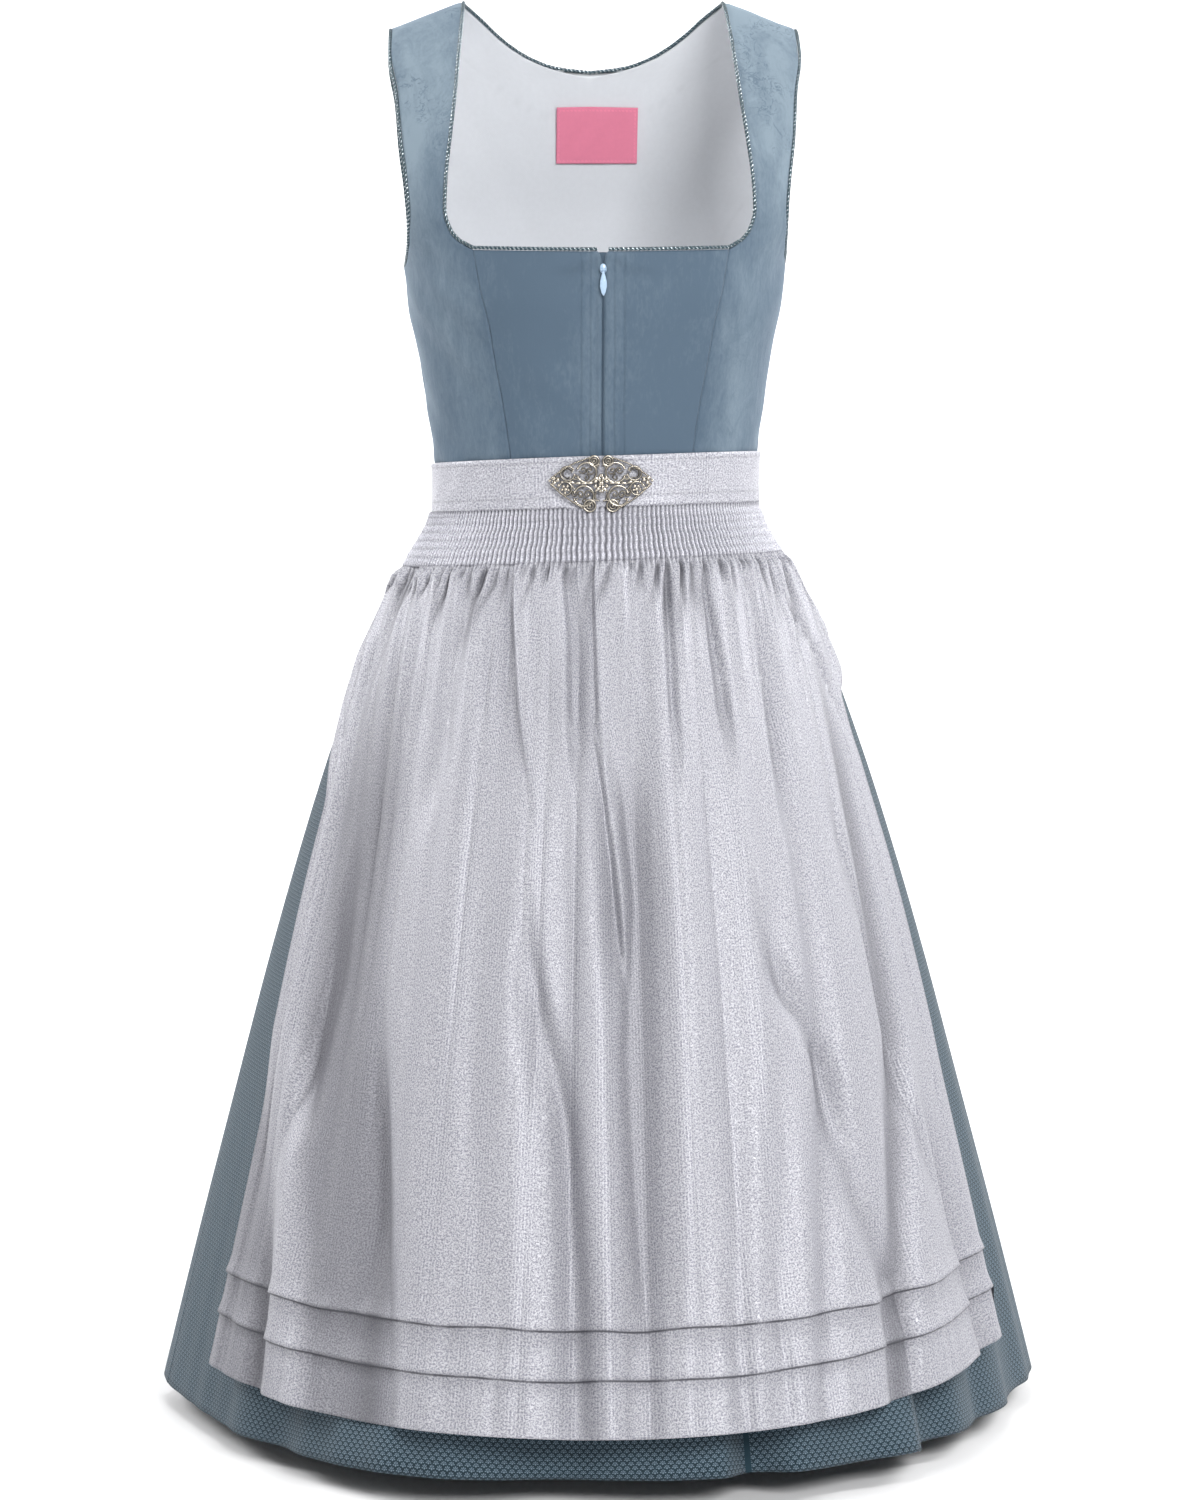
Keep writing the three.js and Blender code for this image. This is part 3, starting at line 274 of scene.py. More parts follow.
def volume(points, faces):
    """Signed volume inside the faces, times six."""
    total = 0.0
    for f in faces:
        p = points[f]
        for k in range(1, f.shape[1] - 1):
            total += np.einsum("ij,ij->i", p[:, 0], np.cross(p[:, k], p[:, k + 1])).sum()
    return total


def outward(points, faces):
    """The faces, turned over where they face inward."""
    return [f[:, ::-1] for f in faces] if volume(points, faces) < 0 else faces


def closed_wall(outer, inner, uv, thin, marks):
    """Points, faces, uv and marks of a closed wall: an outer grid, an inner grid of every thin-th
    row and column, and four strips between their edges. Faces: outer, strips, inner."""
    rows, columns = outer.shape[:2]
    some = np.ix_(picks(rows, thin), picks(columns, thin))

    def both(front, back):
        return np.concatenate([v.reshape(-1, *v.shape[2:]) for v in (front, back[some])])

    first = np.arange(rows * columns).reshape(rows, columns)
    second = rows * columns + np.arange(first[some].size).reshape(first[some].shape)
    strips = np.concatenate([
        zipper(first[:, 0], second[:, 0]),
        zipper(first[-1], second[-1]),
        zipper(first[::-1, -1], second[::-1, -1]),
        zipper(first[0, ::-1], second[0, ::-1]),
    ])
    points = both(outer, inner)
    faces = outward(points, [grid_faces(first), strips, grid_faces(second, flip=True)])
    grids = {key: np.broadcast_to(grid, (rows, columns)) for key, grid in marks.items()}
    return points, faces, both(uv, uv), {key: both(grid, grid) for key, grid in grids.items()}


def wall_object(name, outer, inner, uv, thin, marks, slots=(0, 0, 0)):
    """A closed cloth wall as one object. marks are grids like the outer one."""
    return new_object(name, *closed_wall(outer, inner, uv, thin, marks), slots)


def arc(points):
    """Distance along each row of points, zero at its middle."""
    step = np.linalg.norm(np.diff(points, axis=-2), axis=-1)
    total = np.concatenate([np.zeros(step.shape[:-1] + (1,)), np.cumsum(step, -1)], -1)
    return total - total[..., total.shape[-1] // 2, None]


def round_trip(count):
    """Angles of count even steps round a circle."""
    return 2 * np.pi * np.arange(count) / count


def ring_index(rings, sides):
    """Point numbers of rings, the first of each ring repeated at its end."""
    index = np.arange(rings * sides).reshape(rings, sides)
    return np.concatenate([index, index[:, :1]], 1)


def fan(first, rim):
    """Triangles from one point to the steps of a rim."""
    return np.stack([np.full(len(rim) - 1, first), rim[:-1], rim[1:]], -1)


def tube(path, radius, sides, closed=False):
    """Points and faces of a tube: each ring is path + radius (cos a, sin a) across the path."""
    path = np.asarray(path, float)
    count = len(path)
    before, after = np.roll(path, 1, 0), np.roll(path, -1, 0)
    if not closed:
        before[0], after[-1] = path[0], path[-1]
    ahead = after - before
    ahead /= np.linalg.norm(ahead, axis=1, keepdims=True)
    across = np.zeros_like(ahead)
    start = np.array((0, 1, 0)) if abs(ahead[0, 1]) < 0.9 else np.array((1, 0, 0))
    side = np.cross(start, ahead[0])
    for i in range(count):
        side = side - ahead[i] * (side @ ahead[i])
        side /= np.linalg.norm(side)
        across[i] = side
    angle = round_trip(sides)[None, :, None]
    other = np.cross(ahead, across)
    rings = path[:, None] + radius * (across[:, None] * np.cos(angle) + other[:, None] * np.sin(angle))
    index = ring_index(count, sides)
    if closed:
        gap = np.linalg.norm(rings[-1][0] - rings[0], axis=1)
        meeting = np.roll(index[0, :-1], -int(gap.argmin()))
        return rings.reshape(-1, 3), [grid_faces(np.vstack([index, np.r_[meeting, meeting[0]]]))]
    caps = [fan(0, index[0, 1:-1])[:, [0, 2, 1]], fan(index[-1, 0], index[-1, 1:-1])]
    return rings.reshape(-1, 3), [grid_faces(index), np.concatenate(caps)]


def ball(centre, radius, rings=6, sides=8):
    """Points and faces of a ball, squeezed by a radius for each direction."""
    a = np.pi * (np.arange(rings - 1) + 1)[:, None] / rings
    b = round_trip(sides)
    body = np.stack(np.broadcast_arrays(np.sin(a) * np.cos(b), np.cos(a), np.sin(a) * np.sin(b)), -1)
    points = np.concatenate([body.reshape(-1, 3), [(0, 1, 0), (0, -1, 0)]])
    index = ring_index(rings - 1, sides)
    top = (rings - 1) * sides
    caps = [fan(top, index[0])[:, [0, 2, 1]], fan(top + 1, index[-1])]
    return points * radius + np.array(centre), [grid_faces(index, flip=True), np.concatenate(caps)]


def joined(parts):
    """Several (points, faces) as one, each turned outward."""
    quads, triangles, count = [], [], 0
    for points, faces in parts:
        for f in outward(points, faces):
            (quads if f.shape[1] == 4 else triangles).append(f + count)
        count += len(points)
    points = np.concatenate([part[0] for part in parts])
    return points, [np.concatenate(quads), np.concatenate(triangles)]


# ---------------------------------------------------------------- materials
class Graph:
    """Short way to write node trees: a method adds a node and gives what it puts out."""

    def __init__(self, tree):
        self.tree = tree

    def feed(self, node, inputs):
        """Links a node's inputs to sockets, or sets them to constants."""
        for key, value in inputs.items():
            socket = node.inputs[key]
            if isinstance(value, bpy.types.NodeSocket):
                self.tree.links.new(value, socket)
            elif socket.type == "RGBA":
                socket.default_value = (*value[:3], 1.0)
            else:
                socket.default_value = value
        return node

    def add(self, kind, inputs=None, **settings):
        """One node with its settings and inputs."""
        node = self.tree.nodes.new(kind)
        for key, value in settings.items():
            setattr(node, key, value)
        return self.feed(node, inputs or {})

    def math(self, operation, *values):
        """A Math node's value."""
        return self.add("ShaderNodeMath", dict(enumerate(values)), operation=operation).outputs[0]

    def plus(self, first, second):
        """first + second."""
        return self.math("ADD", first, second)

    def times(self, first, *others):
        """Product of the values."""
        for other in others:
            first = self.math("MULTIPLY", first, other)
        return first

    def minus(self, first, second):
        """first - second."""
        return self.math("SUBTRACT", first, second)

    def away(self, value, level):
        """Distance |value - level|."""
        return self.math("ABSOLUTE", self.minus(value, level))

    def ramp(self, value, low, high, start=0.0, end=1.0):
        """Smooth map of value from low..high to start..end."""
        inputs = dict(enumerate((value, low, high, start, end)))
        return self.add("ShaderNodeMapRange", inputs, interpolation_type="SMOOTHSTEP").outputs[0]

    def mix(self, factor, first, second):
        """Mix of two colours."""
        return self.add("ShaderNodeMix", {0: factor, 6: first, 7: second}, data_type="RGBA").outputs[2]

    def noise(self, vector, scale, detail=3.0, rough=0.5, distortion=0.0):
        """A noise value in 0..1."""
        return self.add("ShaderNodeTexNoise", {
            "Vector": vector, "Scale": scale, "Detail": detail, "Roughness": rough,
            "Distortion": distortion}).outputs["Fac"]

    def drawn_out(self, vector, height):
        """The place with its height scaled, which draws a noise out along it."""
        return self.add("ShaderNodeMapping", {"Vector": vector, "Scale": (1.0, 1.0, height)}).outputs[0]

    def split(self, vector):
        """The vector's three values."""
        return self.add("ShaderNodeSeparateXYZ", {0: vector}).outputs

    def mark(self, name):
        """A float mark of the mesh."""
        return self.add("ShaderNodeAttribute", attribute_name=name).outputs["Fac"]

    def uv(self):
        """The mesh's own uv, in metres of cloth."""
        return self.add("ShaderNodeUVMap", uv_map="UVMap").outputs[0]

    def place(self):
        """Object co-ordinates, in metres."""
        return self.add("ShaderNodeTexCoord").outputs["Object"]

    def shared(self, tree, **inputs):
        """The outputs of a shared effect."""
        return self.add("ShaderNodeGroup", inputs, node_tree=tree).outputs

    def bump(self, height, distance, strength):
        """Normals of a height field."""
        inputs = {"Height": height, "Distance": distance, "Strength": strength}
        return self.add("ShaderNodeBump", inputs).outputs[0]


def effect(name, lengths, outputs, build):
    """A node group over a vector and some lengths, which puts out masks and values only."""
    if name in bpy.data.node_groups:
        return bpy.data.node_groups[name]
    tree = bpy.data.node_groups.new(name, "ShaderNodeTree")
    tree.interface.new_socket("Vector", in_out="INPUT", socket_type="NodeSocketVector")
    for direction, labels in (("INPUT", lengths), ("OUTPUT", outputs)):
        for label in labels:
            tree.interface.new_socket(label, in_out=direction, socket_type="NodeSocketFloat")
    graph = Graph(tree)
    source = tree.nodes.new("NodeGroupInput").outputs
    graph.feed(tree.nodes.new("NodeGroupOutput"), build(graph, source))
    return tree


def leaf_print():
    """Half-drop repeat of small fans: rays cos(n a) round the foot of each cell, on two lattices."""
    def build(g, source):
        place = [g.math("DIVIDE", value, source["Repeat"]) for value in g.split(source["Vector"])[:2]]
        masks = []
        for shift in (0.0, 0.5):
            column, row = (g.math("FRACT", g.plus(value, shift)) for value in place)
            x, y = g.minus(column, 0.5), g.minus(0.66, row)
            radius = g.math("SQRT", g.plus(g.times(x, x), g.times(y, y)))
            angle = g.math("ARCTAN2", x, y)
            rays = g.ramp(g.math("COSINE", g.times(angle, 9.0)), -0.5, 0.5)
            spread = g.ramp(g.math("ABSOLUTE", angle), 1.95, 1.7)
            leaves = g.times(rays, g.ramp(radius, 0.42, 0.34), g.ramp(radius, 0.13, 0.2), spread)
            masks.append(g.math("MAXIMUM", leaves, g.ramp(radius, 0.13, 0.08)))
        return {"Mask": g.math("MAXIMUM", *masks)}

    return effect("Leaf print", ("Repeat",), ("Mask",), build)


def vine_stripes():
    """Satin stripes: bands of curling vines between fine lines, and a grain of small flecks."""
    def build(g, source):
        place = source["Vector"]
        across = g.split(place)[0]
        period = g.math("FRACT", g.math("DIVIDE", across, source["Period"]))
        band = g.ramp(g.away(period, 0.5), 0.3, 0.24)
        vine = g.ramp(g.away(g.noise(place, 210.0, 1.0, 0.5, 2.4), 0.5), 0.05, 0.02)
        lines = g.ramp(g.math("SINE", g.times(across, 2 * math.pi / FINE_LINE)), 0.3, 0.9)
        pattern = g.plus(g.times(vine, band), g.times(lines, g.minus(1.0, band), 0.6))
        return {"Pattern": pattern, "Fleck": g.noise(place, 760.0, 2.0, 0.8)}

    return effect("Vine stripes", ("Period",), ("Pattern", "Fleck"), build)


def plain_weave():
    """Weave: product of two sines across and along the cloth, with a fine noise."""
    def build(g, source):
        threads = [g.math("SINE", g.times(value, 2 * math.pi / THREAD))
                   for value in g.split(source["Vector"])[:2]]
        return {"Height": g.times(*threads), "Slub": g.noise(source["Vector"], 260.0, 4.0, 0.6)}

    return effect("Plain weave", (), ("Height", "Slub"), build)


def brushed_nap():
    """Velvet nap: crushed marks, fine grain, wrinkle lines and streaks, all noises of the place."""
    def build(g, source):
        place = source["Vector"]
        long, longer = g.drawn_out(place, 0.42), g.drawn_out(place, 0.3)
        line = g.ramp(g.away(g.noise(place, 75.0, 3.0, 0.6, 1.6), 0.5), 0.035, 0.0)
        return {
            "Broad": g.noise(long, 14.0, 3.0, 0.55, 0.4),
            "Crushed": g.noise(long, 46.0, 5.0, 0.68, 1.2),
            "Grain": g.noise(place, 1500.0, 2.0),
            "Wrinkle": g.times(line, g.ramp(g.noise(place, 22.0, 2.0), 0.5, 0.62)),
            "Streak": g.noise(longer, 420.0, 4.0, 0.75, 0.6),
        }

    return effect("Brushed nap", (), ("Broad", "Crushed", "Grain", "Wrinkle", "Streak"), build)


def new_material(name):
    """A material with a Principled shader; gives the material, its graph and the shader node."""
    made = bpy.data.materials.new(name)
    made.use_nodes = True
    made.node_tree.nodes.clear()
    graph = Graph(made.node_tree)
    shader = graph.add("ShaderNodeBsdfPrincipled")
    graph.add("ShaderNodeOutputMaterial", {0: shader.outputs[0]})
    return made, graph, shader


def shade(colour, factor):
    """A colour made lighter or darker."""
    return tuple(min(1.0, c * factor) for c in colour[:3])


def velvet_material(p):
    """Cotton velvet: a dark ground with crushed marks, lighter at its rims through sheen; painted light
    makes it lighter on the strap tops and on the panels turned to the side, and painted shade darkens
    its seams and grooves.
    """
    made, g, shader = new_material("Velvet")
    nap, pale = g.shared(brushed_nap(), Vector=g.place()), g.mark("pale")
    marks = g.plus(g.times(nap["Broad"], 0.6), g.times(nap["Crushed"], 0.4))
    # painted light: where its mark is high, the crushed marks grow stronger, the lighter velvet colour
    # is mixed in and the wrinkle lines show
    marks = g.times(g.ramp(marks, 0.36, 0.66, -0.3, 0.38), g.plus(0.3, pale))
    marks = g.plus(marks, g.ramp(nap["Streak"], 0.3, 0.7, -0.1, 0.1))
    colour = g.mix(g.plus(marks, g.times(pale, 0.95)), p.velvet, p.velvet_painted_light)
    colour = g.mix(g.times(nap["Wrinkle"], g.times(pale, 0.7)), colour, p.velvet)
    # painted shade: the velvet darkened to 0.6 in seams, stitched channels, pull wrinkles and along the
    # zip edge
    colour = g.mix(g.times(g.mark("crease"), 0.4), colour, shade(p.velvet, 0.6))
    height = g.plus(g.times(nap["Crushed"], 0.8), g.times(nap["Grain"], 0.25))
    g.feed(shader, {
        "Base Color": colour, "Roughness": 0.78, "Specular IOR Level": 0.25, "Sheen Weight": 0.22,
        "Sheen Roughness": 0.38, "Sheen Tint": p.velvet_rim, "Normal": g.bump(height, 0.0009, 0.5)})
    return made


def cotton_material(name, colour, edge=None, relief=0.00012):
    """Plain cotton: a fine weave and faint slubs; edge is the colour mixed in where its mark is high:
    painted shade in grooves, darker by default, and on the label its lighter stitches.
    """
    made, g, shader = new_material(name)
    weave = g.shared(plain_weave(), Vector=g.uv())
    tint = g.mix(g.ramp(weave["Slub"], 0.3, 0.7), shade(colour, 0.985), shade(colour, 1.01))
    g.feed(shader, {
        # painted shade in grooves, or the label's lighter stitches, mixed in where the mark is high
        "Base Color": g.mix(g.mark("crease"), tint, edge or shade(colour, 0.72)), "Roughness": 0.85,
        "Specular IOR Level": 0.2, "Normal": g.bump(weave["Height"], relief, 0.5)})
    return made


def print_material(p):
    """Printed cotton: small fans, lighter than their dark ground, slightly uneven in the weave."""
    made, g, shader = new_material("Print")
    uv = g.uv()
    fans = g.shared(leaf_print(), Vector=uv, Repeat=p.motif)
    weave = g.shared(plain_weave(), Vector=uv)
    ground = g.mix(g.ramp(weave["Slub"], 0.3, 0.7), shade(p.ground, 0.85), shade(p.ground, 1.12))
    g.feed(shader, {
        "Base Color": g.mix(g.times(fans["Mask"], 0.85), ground, p.motif_colour), "Roughness": 0.8,
        "Specular IOR Level": 0.25, "Sheen Weight": 0.1,
        "Normal": g.bump(weave["Height"], 0.00012, 0.5)})
    return made


def satin_material(name, p, painted_light_gain=1.0):
    """Jacquard satin: vine stripes that catch the light, with a soft sheen and small flecks; a gain
    above 1 paints the whole satin lighter, standing in for light, and painted shade darkens it where
    its mark is high.
    """
    made, g, shader = new_material(name)
    stripes = g.shared(vine_stripes(), Vector=g.uv(), Period=p.stripe)
    level = g.plus(g.times(stripes["Pattern"], 0.4), g.ramp(stripes["Fleck"], 0.4, 0.6, 0.0, 0.85))
    colour = g.mix(level, shade(p.satin, painted_light_gain), shade(p.satin_bright, painted_light_gain))
    height = g.plus(g.times(stripes["Pattern"], 0.5), stripes["Fleck"])
    g.feed(shader, {
        # painted shade: the satin darkened to 0.3 where the mark is high
        "Base Color": g.mix(g.mark("crease"), colour, shade(p.satin, 0.3)),
        "Roughness": g.ramp(stripes["Pattern"], 0.0, 1.0, 0.56, 0.42), "Metallic": 0.2,
        "Specular IOR Level": 0.5, "Normal": g.bump(height, 0.00035, 0.45)})
    return made


def piping_material(p):
    """Dark cord with a glitter twist: silver where the spiral mark is high, in small flecks."""
    made, g, shader = new_material("Piping")
    flecks = g.noise(g.place(), 1400.0, 2.0, 0.7)
    silver = g.times(g.ramp(g.mark("spiral"), 0.5, 0.72), g.ramp(flecks, 0.44, 0.52))
    g.feed(shader, {
        "Base Color": g.mix(silver, p.piping, p.glitter), "Metallic": silver,
        "Roughness": g.ramp(silver, 0.0, 1.0, 0.55, 0.25), "Normal": g.bump(flecks, 0.0003, 0.6)})
    return made


def silver_material(p):
    """Antique silver: bright on what stands out, dark towards the back of each wire where its mark is
    high, partly the blackening of antique silver and partly painted shade.
    """
    made, g, shader = new_material("Antique silver")
    stain = g.noise(g.place(), 420.0, 4.0, 0.6)
    dark = g.times(g.mark("tarnish_and_shade_mark"), g.ramp(stain, 0.2, 0.6, 0.75, 1.0))
    g.feed(shader, {
        "Base Color": g.mix(dark, p.silver, p.tarnish_and_shade_colour), "Metallic": 1.0,
        "Roughness": g.ramp(dark, 0.0, 1.0, 0.2, 0.6), "Normal": g.bump(stain, 0.00012, 0.4)})
    return made


def enamel_material(p):
    """Painted zinc: smooth and slightly glossy, paint thin where it is worn."""
    made, g, shader = new_material("Enamel")
    wear = g.ramp(g.noise(g.place(), 700.0, 3.0), 0.5, 0.75)
    g.feed(shader, {"Base Color": g.mix(wear, p.enamel, shade(p.enamel, 1.2)), "Roughness": 0.3,
                    "Coat Weight": 0.6})
    return made


MATERIALS = {}


def material(name):
    """One of the shared materials, made when it is first asked for."""
    p = bpy.context.scene.dirndl
    makers = {
        "velvet": lambda: velvet_material(p),
        "lining": lambda: cotton_material("Lining", p.lining),
        "label": lambda: cotton_material("Label", p.label, shade(p.label, 1.25), 0.0002),
        "tape": lambda: cotton_material("Zip tape", shade(p.velvet, 0.8)),
        "print": lambda: print_material(p),
        "wrong_side": lambda: cotton_material("Print wrong side", shade(p.ground, 1.5)),
        "satin": lambda: satin_material("Satin", p),
        # the smocked head and the band are lit copies of the same satin, painted 1.45 and 1.2 times
        # lighter
        "head": lambda: satin_material("Smocked satin", p, 1.45),
        "band": lambda: satin_material("Band satin", p, 1.2),
        "piping": lambda: piping_material(p),
        "silver": lambda: silver_material(p),
        "enamel": lambda: enamel_material(p),
    }
    if name not in MATERIALS:
        MATERIALS[name] = makers[name]()
    return MATERIALS[name]


def finish_piece(obj, materials, nodes, body="dress"):
    """Gives a piece its materials and its body, and hides the solids it stands for."""
    for name in materials:
        obj.data.materials.append(material(name))
    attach(obj, body)
    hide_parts(*nodes)
    return obj


# ---------------------------------------------------------------- bodice
def side_word(side):
    """Name of a side, -1 or 1."""
    return "left" if side < 0 else "right"


def ruled(left, right, drop, share):
    """Turn and drop of a grid: each row runs from its left edge to its right edge."""
    turn = left[:, None] + (right - left)[:, None] * share
    return turn, np.repeat(drop[:, None], len(share), 1)


def groove(distance, depth, width):
    """A stitched groove: depth times a bell curve of the distance."""
    return depth * bump(distance, 0, width)


def cloth_uv(points, drop):
    """Uv in metres: distance along the row and drop."""
    return np.stack([arc(points), np.broadcast_to(drop, points.shape[:2])], -1) * MM


def velvet_panel(name, turn, drop, out, crease, pale, side):
    """A bodice panel: outer skin at out, lining face 1.5 mm inside the form; side -1 is mirrored."""
    outer, inner = (on_form(turn, drop, level) * (side, 1, 1) for level in (out, -VELVET))
    # marks: painted shade in the grooves and painted light, both for the velvet material
    marks = {"crease": np.clip(crease, 0, 1), "pale": pale}
    name = f"{name}_{side_word(side)}"
    return wall_object(name, outer, inner, cloth_uv(outer, drop), 3, marks, (0, 0, 1))


def side_front(p, side):
    """Front side panel with its strap: between neckline or princess seam, and armhole or side."""
    drop = np.r_[np.linspace(0.02, math.sqrt(UNDERARM), 96) ** 2,
                 np.linspace(UNDERARM, WAIST, 84)[1:]]
    left = turn_at(np.where(drop < NECK_CORNER, neck_front_x(drop), princess_front_x(drop)), drop)
    right = np.where(drop < UNDERARM, turn_at(armhole_x(drop), drop), 90.0)
    even = np.cos(np.pi * np.linspace(0, 1, 96))
    share = 0.5 - 0.5 * even * (0.72 + 0.28 * even ** 2)
    turn, drop = ruled(left, right, drop, share)
    width = np.radians(right - left)[:, None] * form_half(drop)
    from_left, from_right = share * width, (1 - share) * width
    seam = groove(from_left, *SEAM_GROOVE) * (drop > NECK_CORNER - 2)
    seam = seam + groove(from_right, *SEAM_GROOVE) * (drop > UNDERARM)
    edge = groove(from_left, 0.5, 2) * (drop <= NECK_CORNER)
    edge = edge + groove(from_right, 0.5, 2) * (drop <= UNDERARM)
    puckers = 0.35 * bump(from_left, 5, 6) * np.sin(drop / 3.4 + 2 * wander(drop / 30, 5 + side))
    folds = 0.9 * wander(drop / 16 + from_left / 22, 11 + side, 5) * rise(from_left / 30)
    folds += 0.78 * wander((drop - 0.6 * from_left) / 9, 21 + side, 4) * bump(drop, 340, 26)
    out = puckers + folds * p.softness - seam - edge
    # painted light: a little lighter some way from the neckline or princess seam, much lighter on the
    # strap tops where light from above falls, and less of it near that seam
    pale = 0.24 + 0.16 * bump(from_left, 34, 20) + 0.62 * rise((178 - drop) / 105)
    pale = pale * (0.35 + 0.65 * rise((from_left + 2) / 14)) ** (drop > NECK_CORNER)
    # painted shade in the seam grooves
    return velvet_panel("front_side", turn, drop, out, 0.5 * seam, pale, side)


def centre_front(p, side):
    """Front centre panel, its free edge beside the zip, with two stitched channels."""
    share = np.linspace(0, 1, 160)
    top = neck_drop(share * 92.0)
    drop = top + (WAIST - top) * np.linspace(0, 1, 112)[:, None]
    near = p.zip_gap / MM + 3.2 * np.exp(-(drop - NECK_LOW) / 3.5)
    x = near + (princess_front_x(drop) - near) * share
    channels = (9.5, 16.2) if side < 0 else (8.2, 15.4)
    stitched = sum(groove(x - c - 0.5 * wander(drop / 30, 3 + side), 0.75, 0.9) for c in channels)
    stitched = stitched * (0.75 + 0.25 * np.sin(drop * 2 * np.pi / STITCH))
    seam = groove(princess_front_x(drop) - x, *SEAM_GROOVE)
    lip = groove(x - near, 0.9, 0.9) - groove(x - near - 2.6, 0.5, 1.8)
    tug = 1.1 * bump(drop, 194 + 0.12 * x, 3.6) * bump(x, 22, 15)
    tug += 0.8 * bump(drop, 189 + 0.2 * x, 2.4) * bump(x, 10, 6)
    puckers = 0.3 * np.sin(drop / 2.9 + 3 * wander(drop / 25, 31 + side)) * bump(x, 12, 6)
    neck = groove(drop - top, 0.6, 1.6)
    soft = 0.7 * wander(drop / 17 + x / 30, 41 + side, 5) * rise(x / 25) * rise((70 - x) / 20)
    soft += 1.6 * wander((drop + 0.5 * x) / 8, 51 + side, 4) * bump(drop, 345, 16)
    out = puckers + soft * p.softness - stitched - seam - lip - tug - neck
    out = np.maximum(out, -1.2 + 0.1 * out)
    # painted shade in the stitched channels, the seam, the pull wrinkles and along the zip edge
    crease = 0.5 * stitched + 0.5 * seam + 0.4 * tug + 0.3 * bump(x, near[0], 1.2)
    # painted light: a little lighter beside the zip and towards the princess seam
    pale = 0.14 * bump(x, 5, 9) + 0.1 * rise((x - 60) / 30)
    return velvet_panel("front_centre", turn_at(x, drop), drop, out, crease, pale, side)


def side_back(p, side):
    """Back side panel, between the side line and the back princess seam."""
    drop = np.linspace(BACK_SEAM_TOP + 0.2, WAIST, 100)
    left = np.where(drop < UNDERARM, turn_at(armhole_x(drop), drop, True), 90.0)
    right = turn_at(princess_back_x(drop), drop, True)
    turn, drop = ruled(left, right, drop, np.linspace(0, 1, 56))
    place = form_point(turn, drop)
    from_left, from_right = (np.linalg.norm(place - place[:, k, None], axis=-1) for k in (0, -1))
    seam = groove(from_left, *BACK_GROOVE) * (drop > UNDERARM) + groove(from_right, *BACK_GROOVE)
    out = 0.6 * p.softness * wander(drop / 15 + from_left / 20, 71 + side, 5) - seam
    # painted shade in the seam grooves, and 0.5 of painted light over the whole panel
    return velvet_panel("back_side", turn, drop, out, seam / BACK_GROOVE[0], 0.5, side)


def back_grid(side_edge, columns):
    """Turn and drop of a back half, from its side edge to the neckline or the centre line."""
    top = np.linspace(0.02, math.sqrt(BACK_NECK), NECK_ROWS + 1) ** 2
    drop = np.r_[top, np.linspace(BACK_NECK, BACK_SEAM_TOP, 34)[1:],
                 np.linspace(BACK_SEAM_TOP, WAIST, 100)[1:]]
    neck = turn_at(neck_back_x(np.minimum(drop, BACK_NECK)), drop, True)
    right = np.where(drop < BACK_NECK, neck, 180.0)
    return ruled(side_edge(drop), right, drop, np.linspace(0, 1, columns))


def centre_back(p):
    """Back panel, both halves in one: rows run over the turn from armhole to armhole."""
    def side_edge(drop):
        x = np.where(drop < BACK_SEAM_TOP, armhole_x(drop), princess_back_x(drop))
        return turn_at(x, drop, True)

    turn, drop = back_grid(side_edge, 90)
    x = form_point(turn, drop)[..., 0]
    from_edge = np.linspace(0, 1, 90) * np.abs(x[:, :1] - x[:, -1:])
    seam = groove(from_edge, *BACK_GROOVE) * (drop > BACK_SEAM_TOP)
    out = 0.7 * p.softness * wander(drop / 18 + x / 26, 61, 5) * rise(from_edge / 20) - seam
    centre = groove(x, 0.6, 1.2) * (drop > BACK_NECK)
    out = out * rise((180 - turn) / 1.5) - centre
    # painted shade in the seams and the centre line, and painted light that grows towards the top
    marks = {"crease": np.clip(seam / BACK_GROOVE[0] + centre, 0, 1),
             "pale": 0.3 + 0.3 * rise((120 - drop) / 120)}
    return two_halves("back_centre", turn, drop, (out, -VELVET), marks, 3, (0, 0, 1))


def back_lining(p):
    """Lining of the back and the back sides: a skin of about 1.4 mm, 0.3 mm inside the velvet."""
    def side_edge(drop):
        return np.where(drop < UNDERARM, turn_at(armhole_x(drop), drop, True), 90.0)

    turn, drop = back_grid(side_edge, 72)
    x = form_point(turn, drop)[..., 0]
    neckline = np.interp(np.abs(x), NECK_BACK[::-1, 1], NECK_BACK[::-1, 0])
    facing = groove(drop - neckline - 30, STITCH_DEPTH, 1.0)
    seam = groove(x - princess_back_x(drop), 0.4, 1.2) * (drop > BACK_SEAM_TOP)
    soft = 0.8 * wander(x / 17 + drop / 29, 81, 6)
    soft = soft + 0.9 * bump(x, 106, 14) * wander(drop / 12, 83, 4)
    soft = np.clip(soft * p.softness * rise((180 - turn) / 4), -0.35, 0.9)
    # painted shade in the facing's stitch line and the back princess seam
    crease = np.clip(0.5 * facing / STITCH_DEPTH + 0.5 * seam / 0.4, 0, 1) * 0.35
    inside = UNDER_VELVET - LINING - 0.4 + facing + seam + soft
    levels, marks = (UNDER_VELVET, inside), {"crease": crease}
    return two_halves("back_lining", turn, drop, levels, marks, 2, (0, 0, 0))


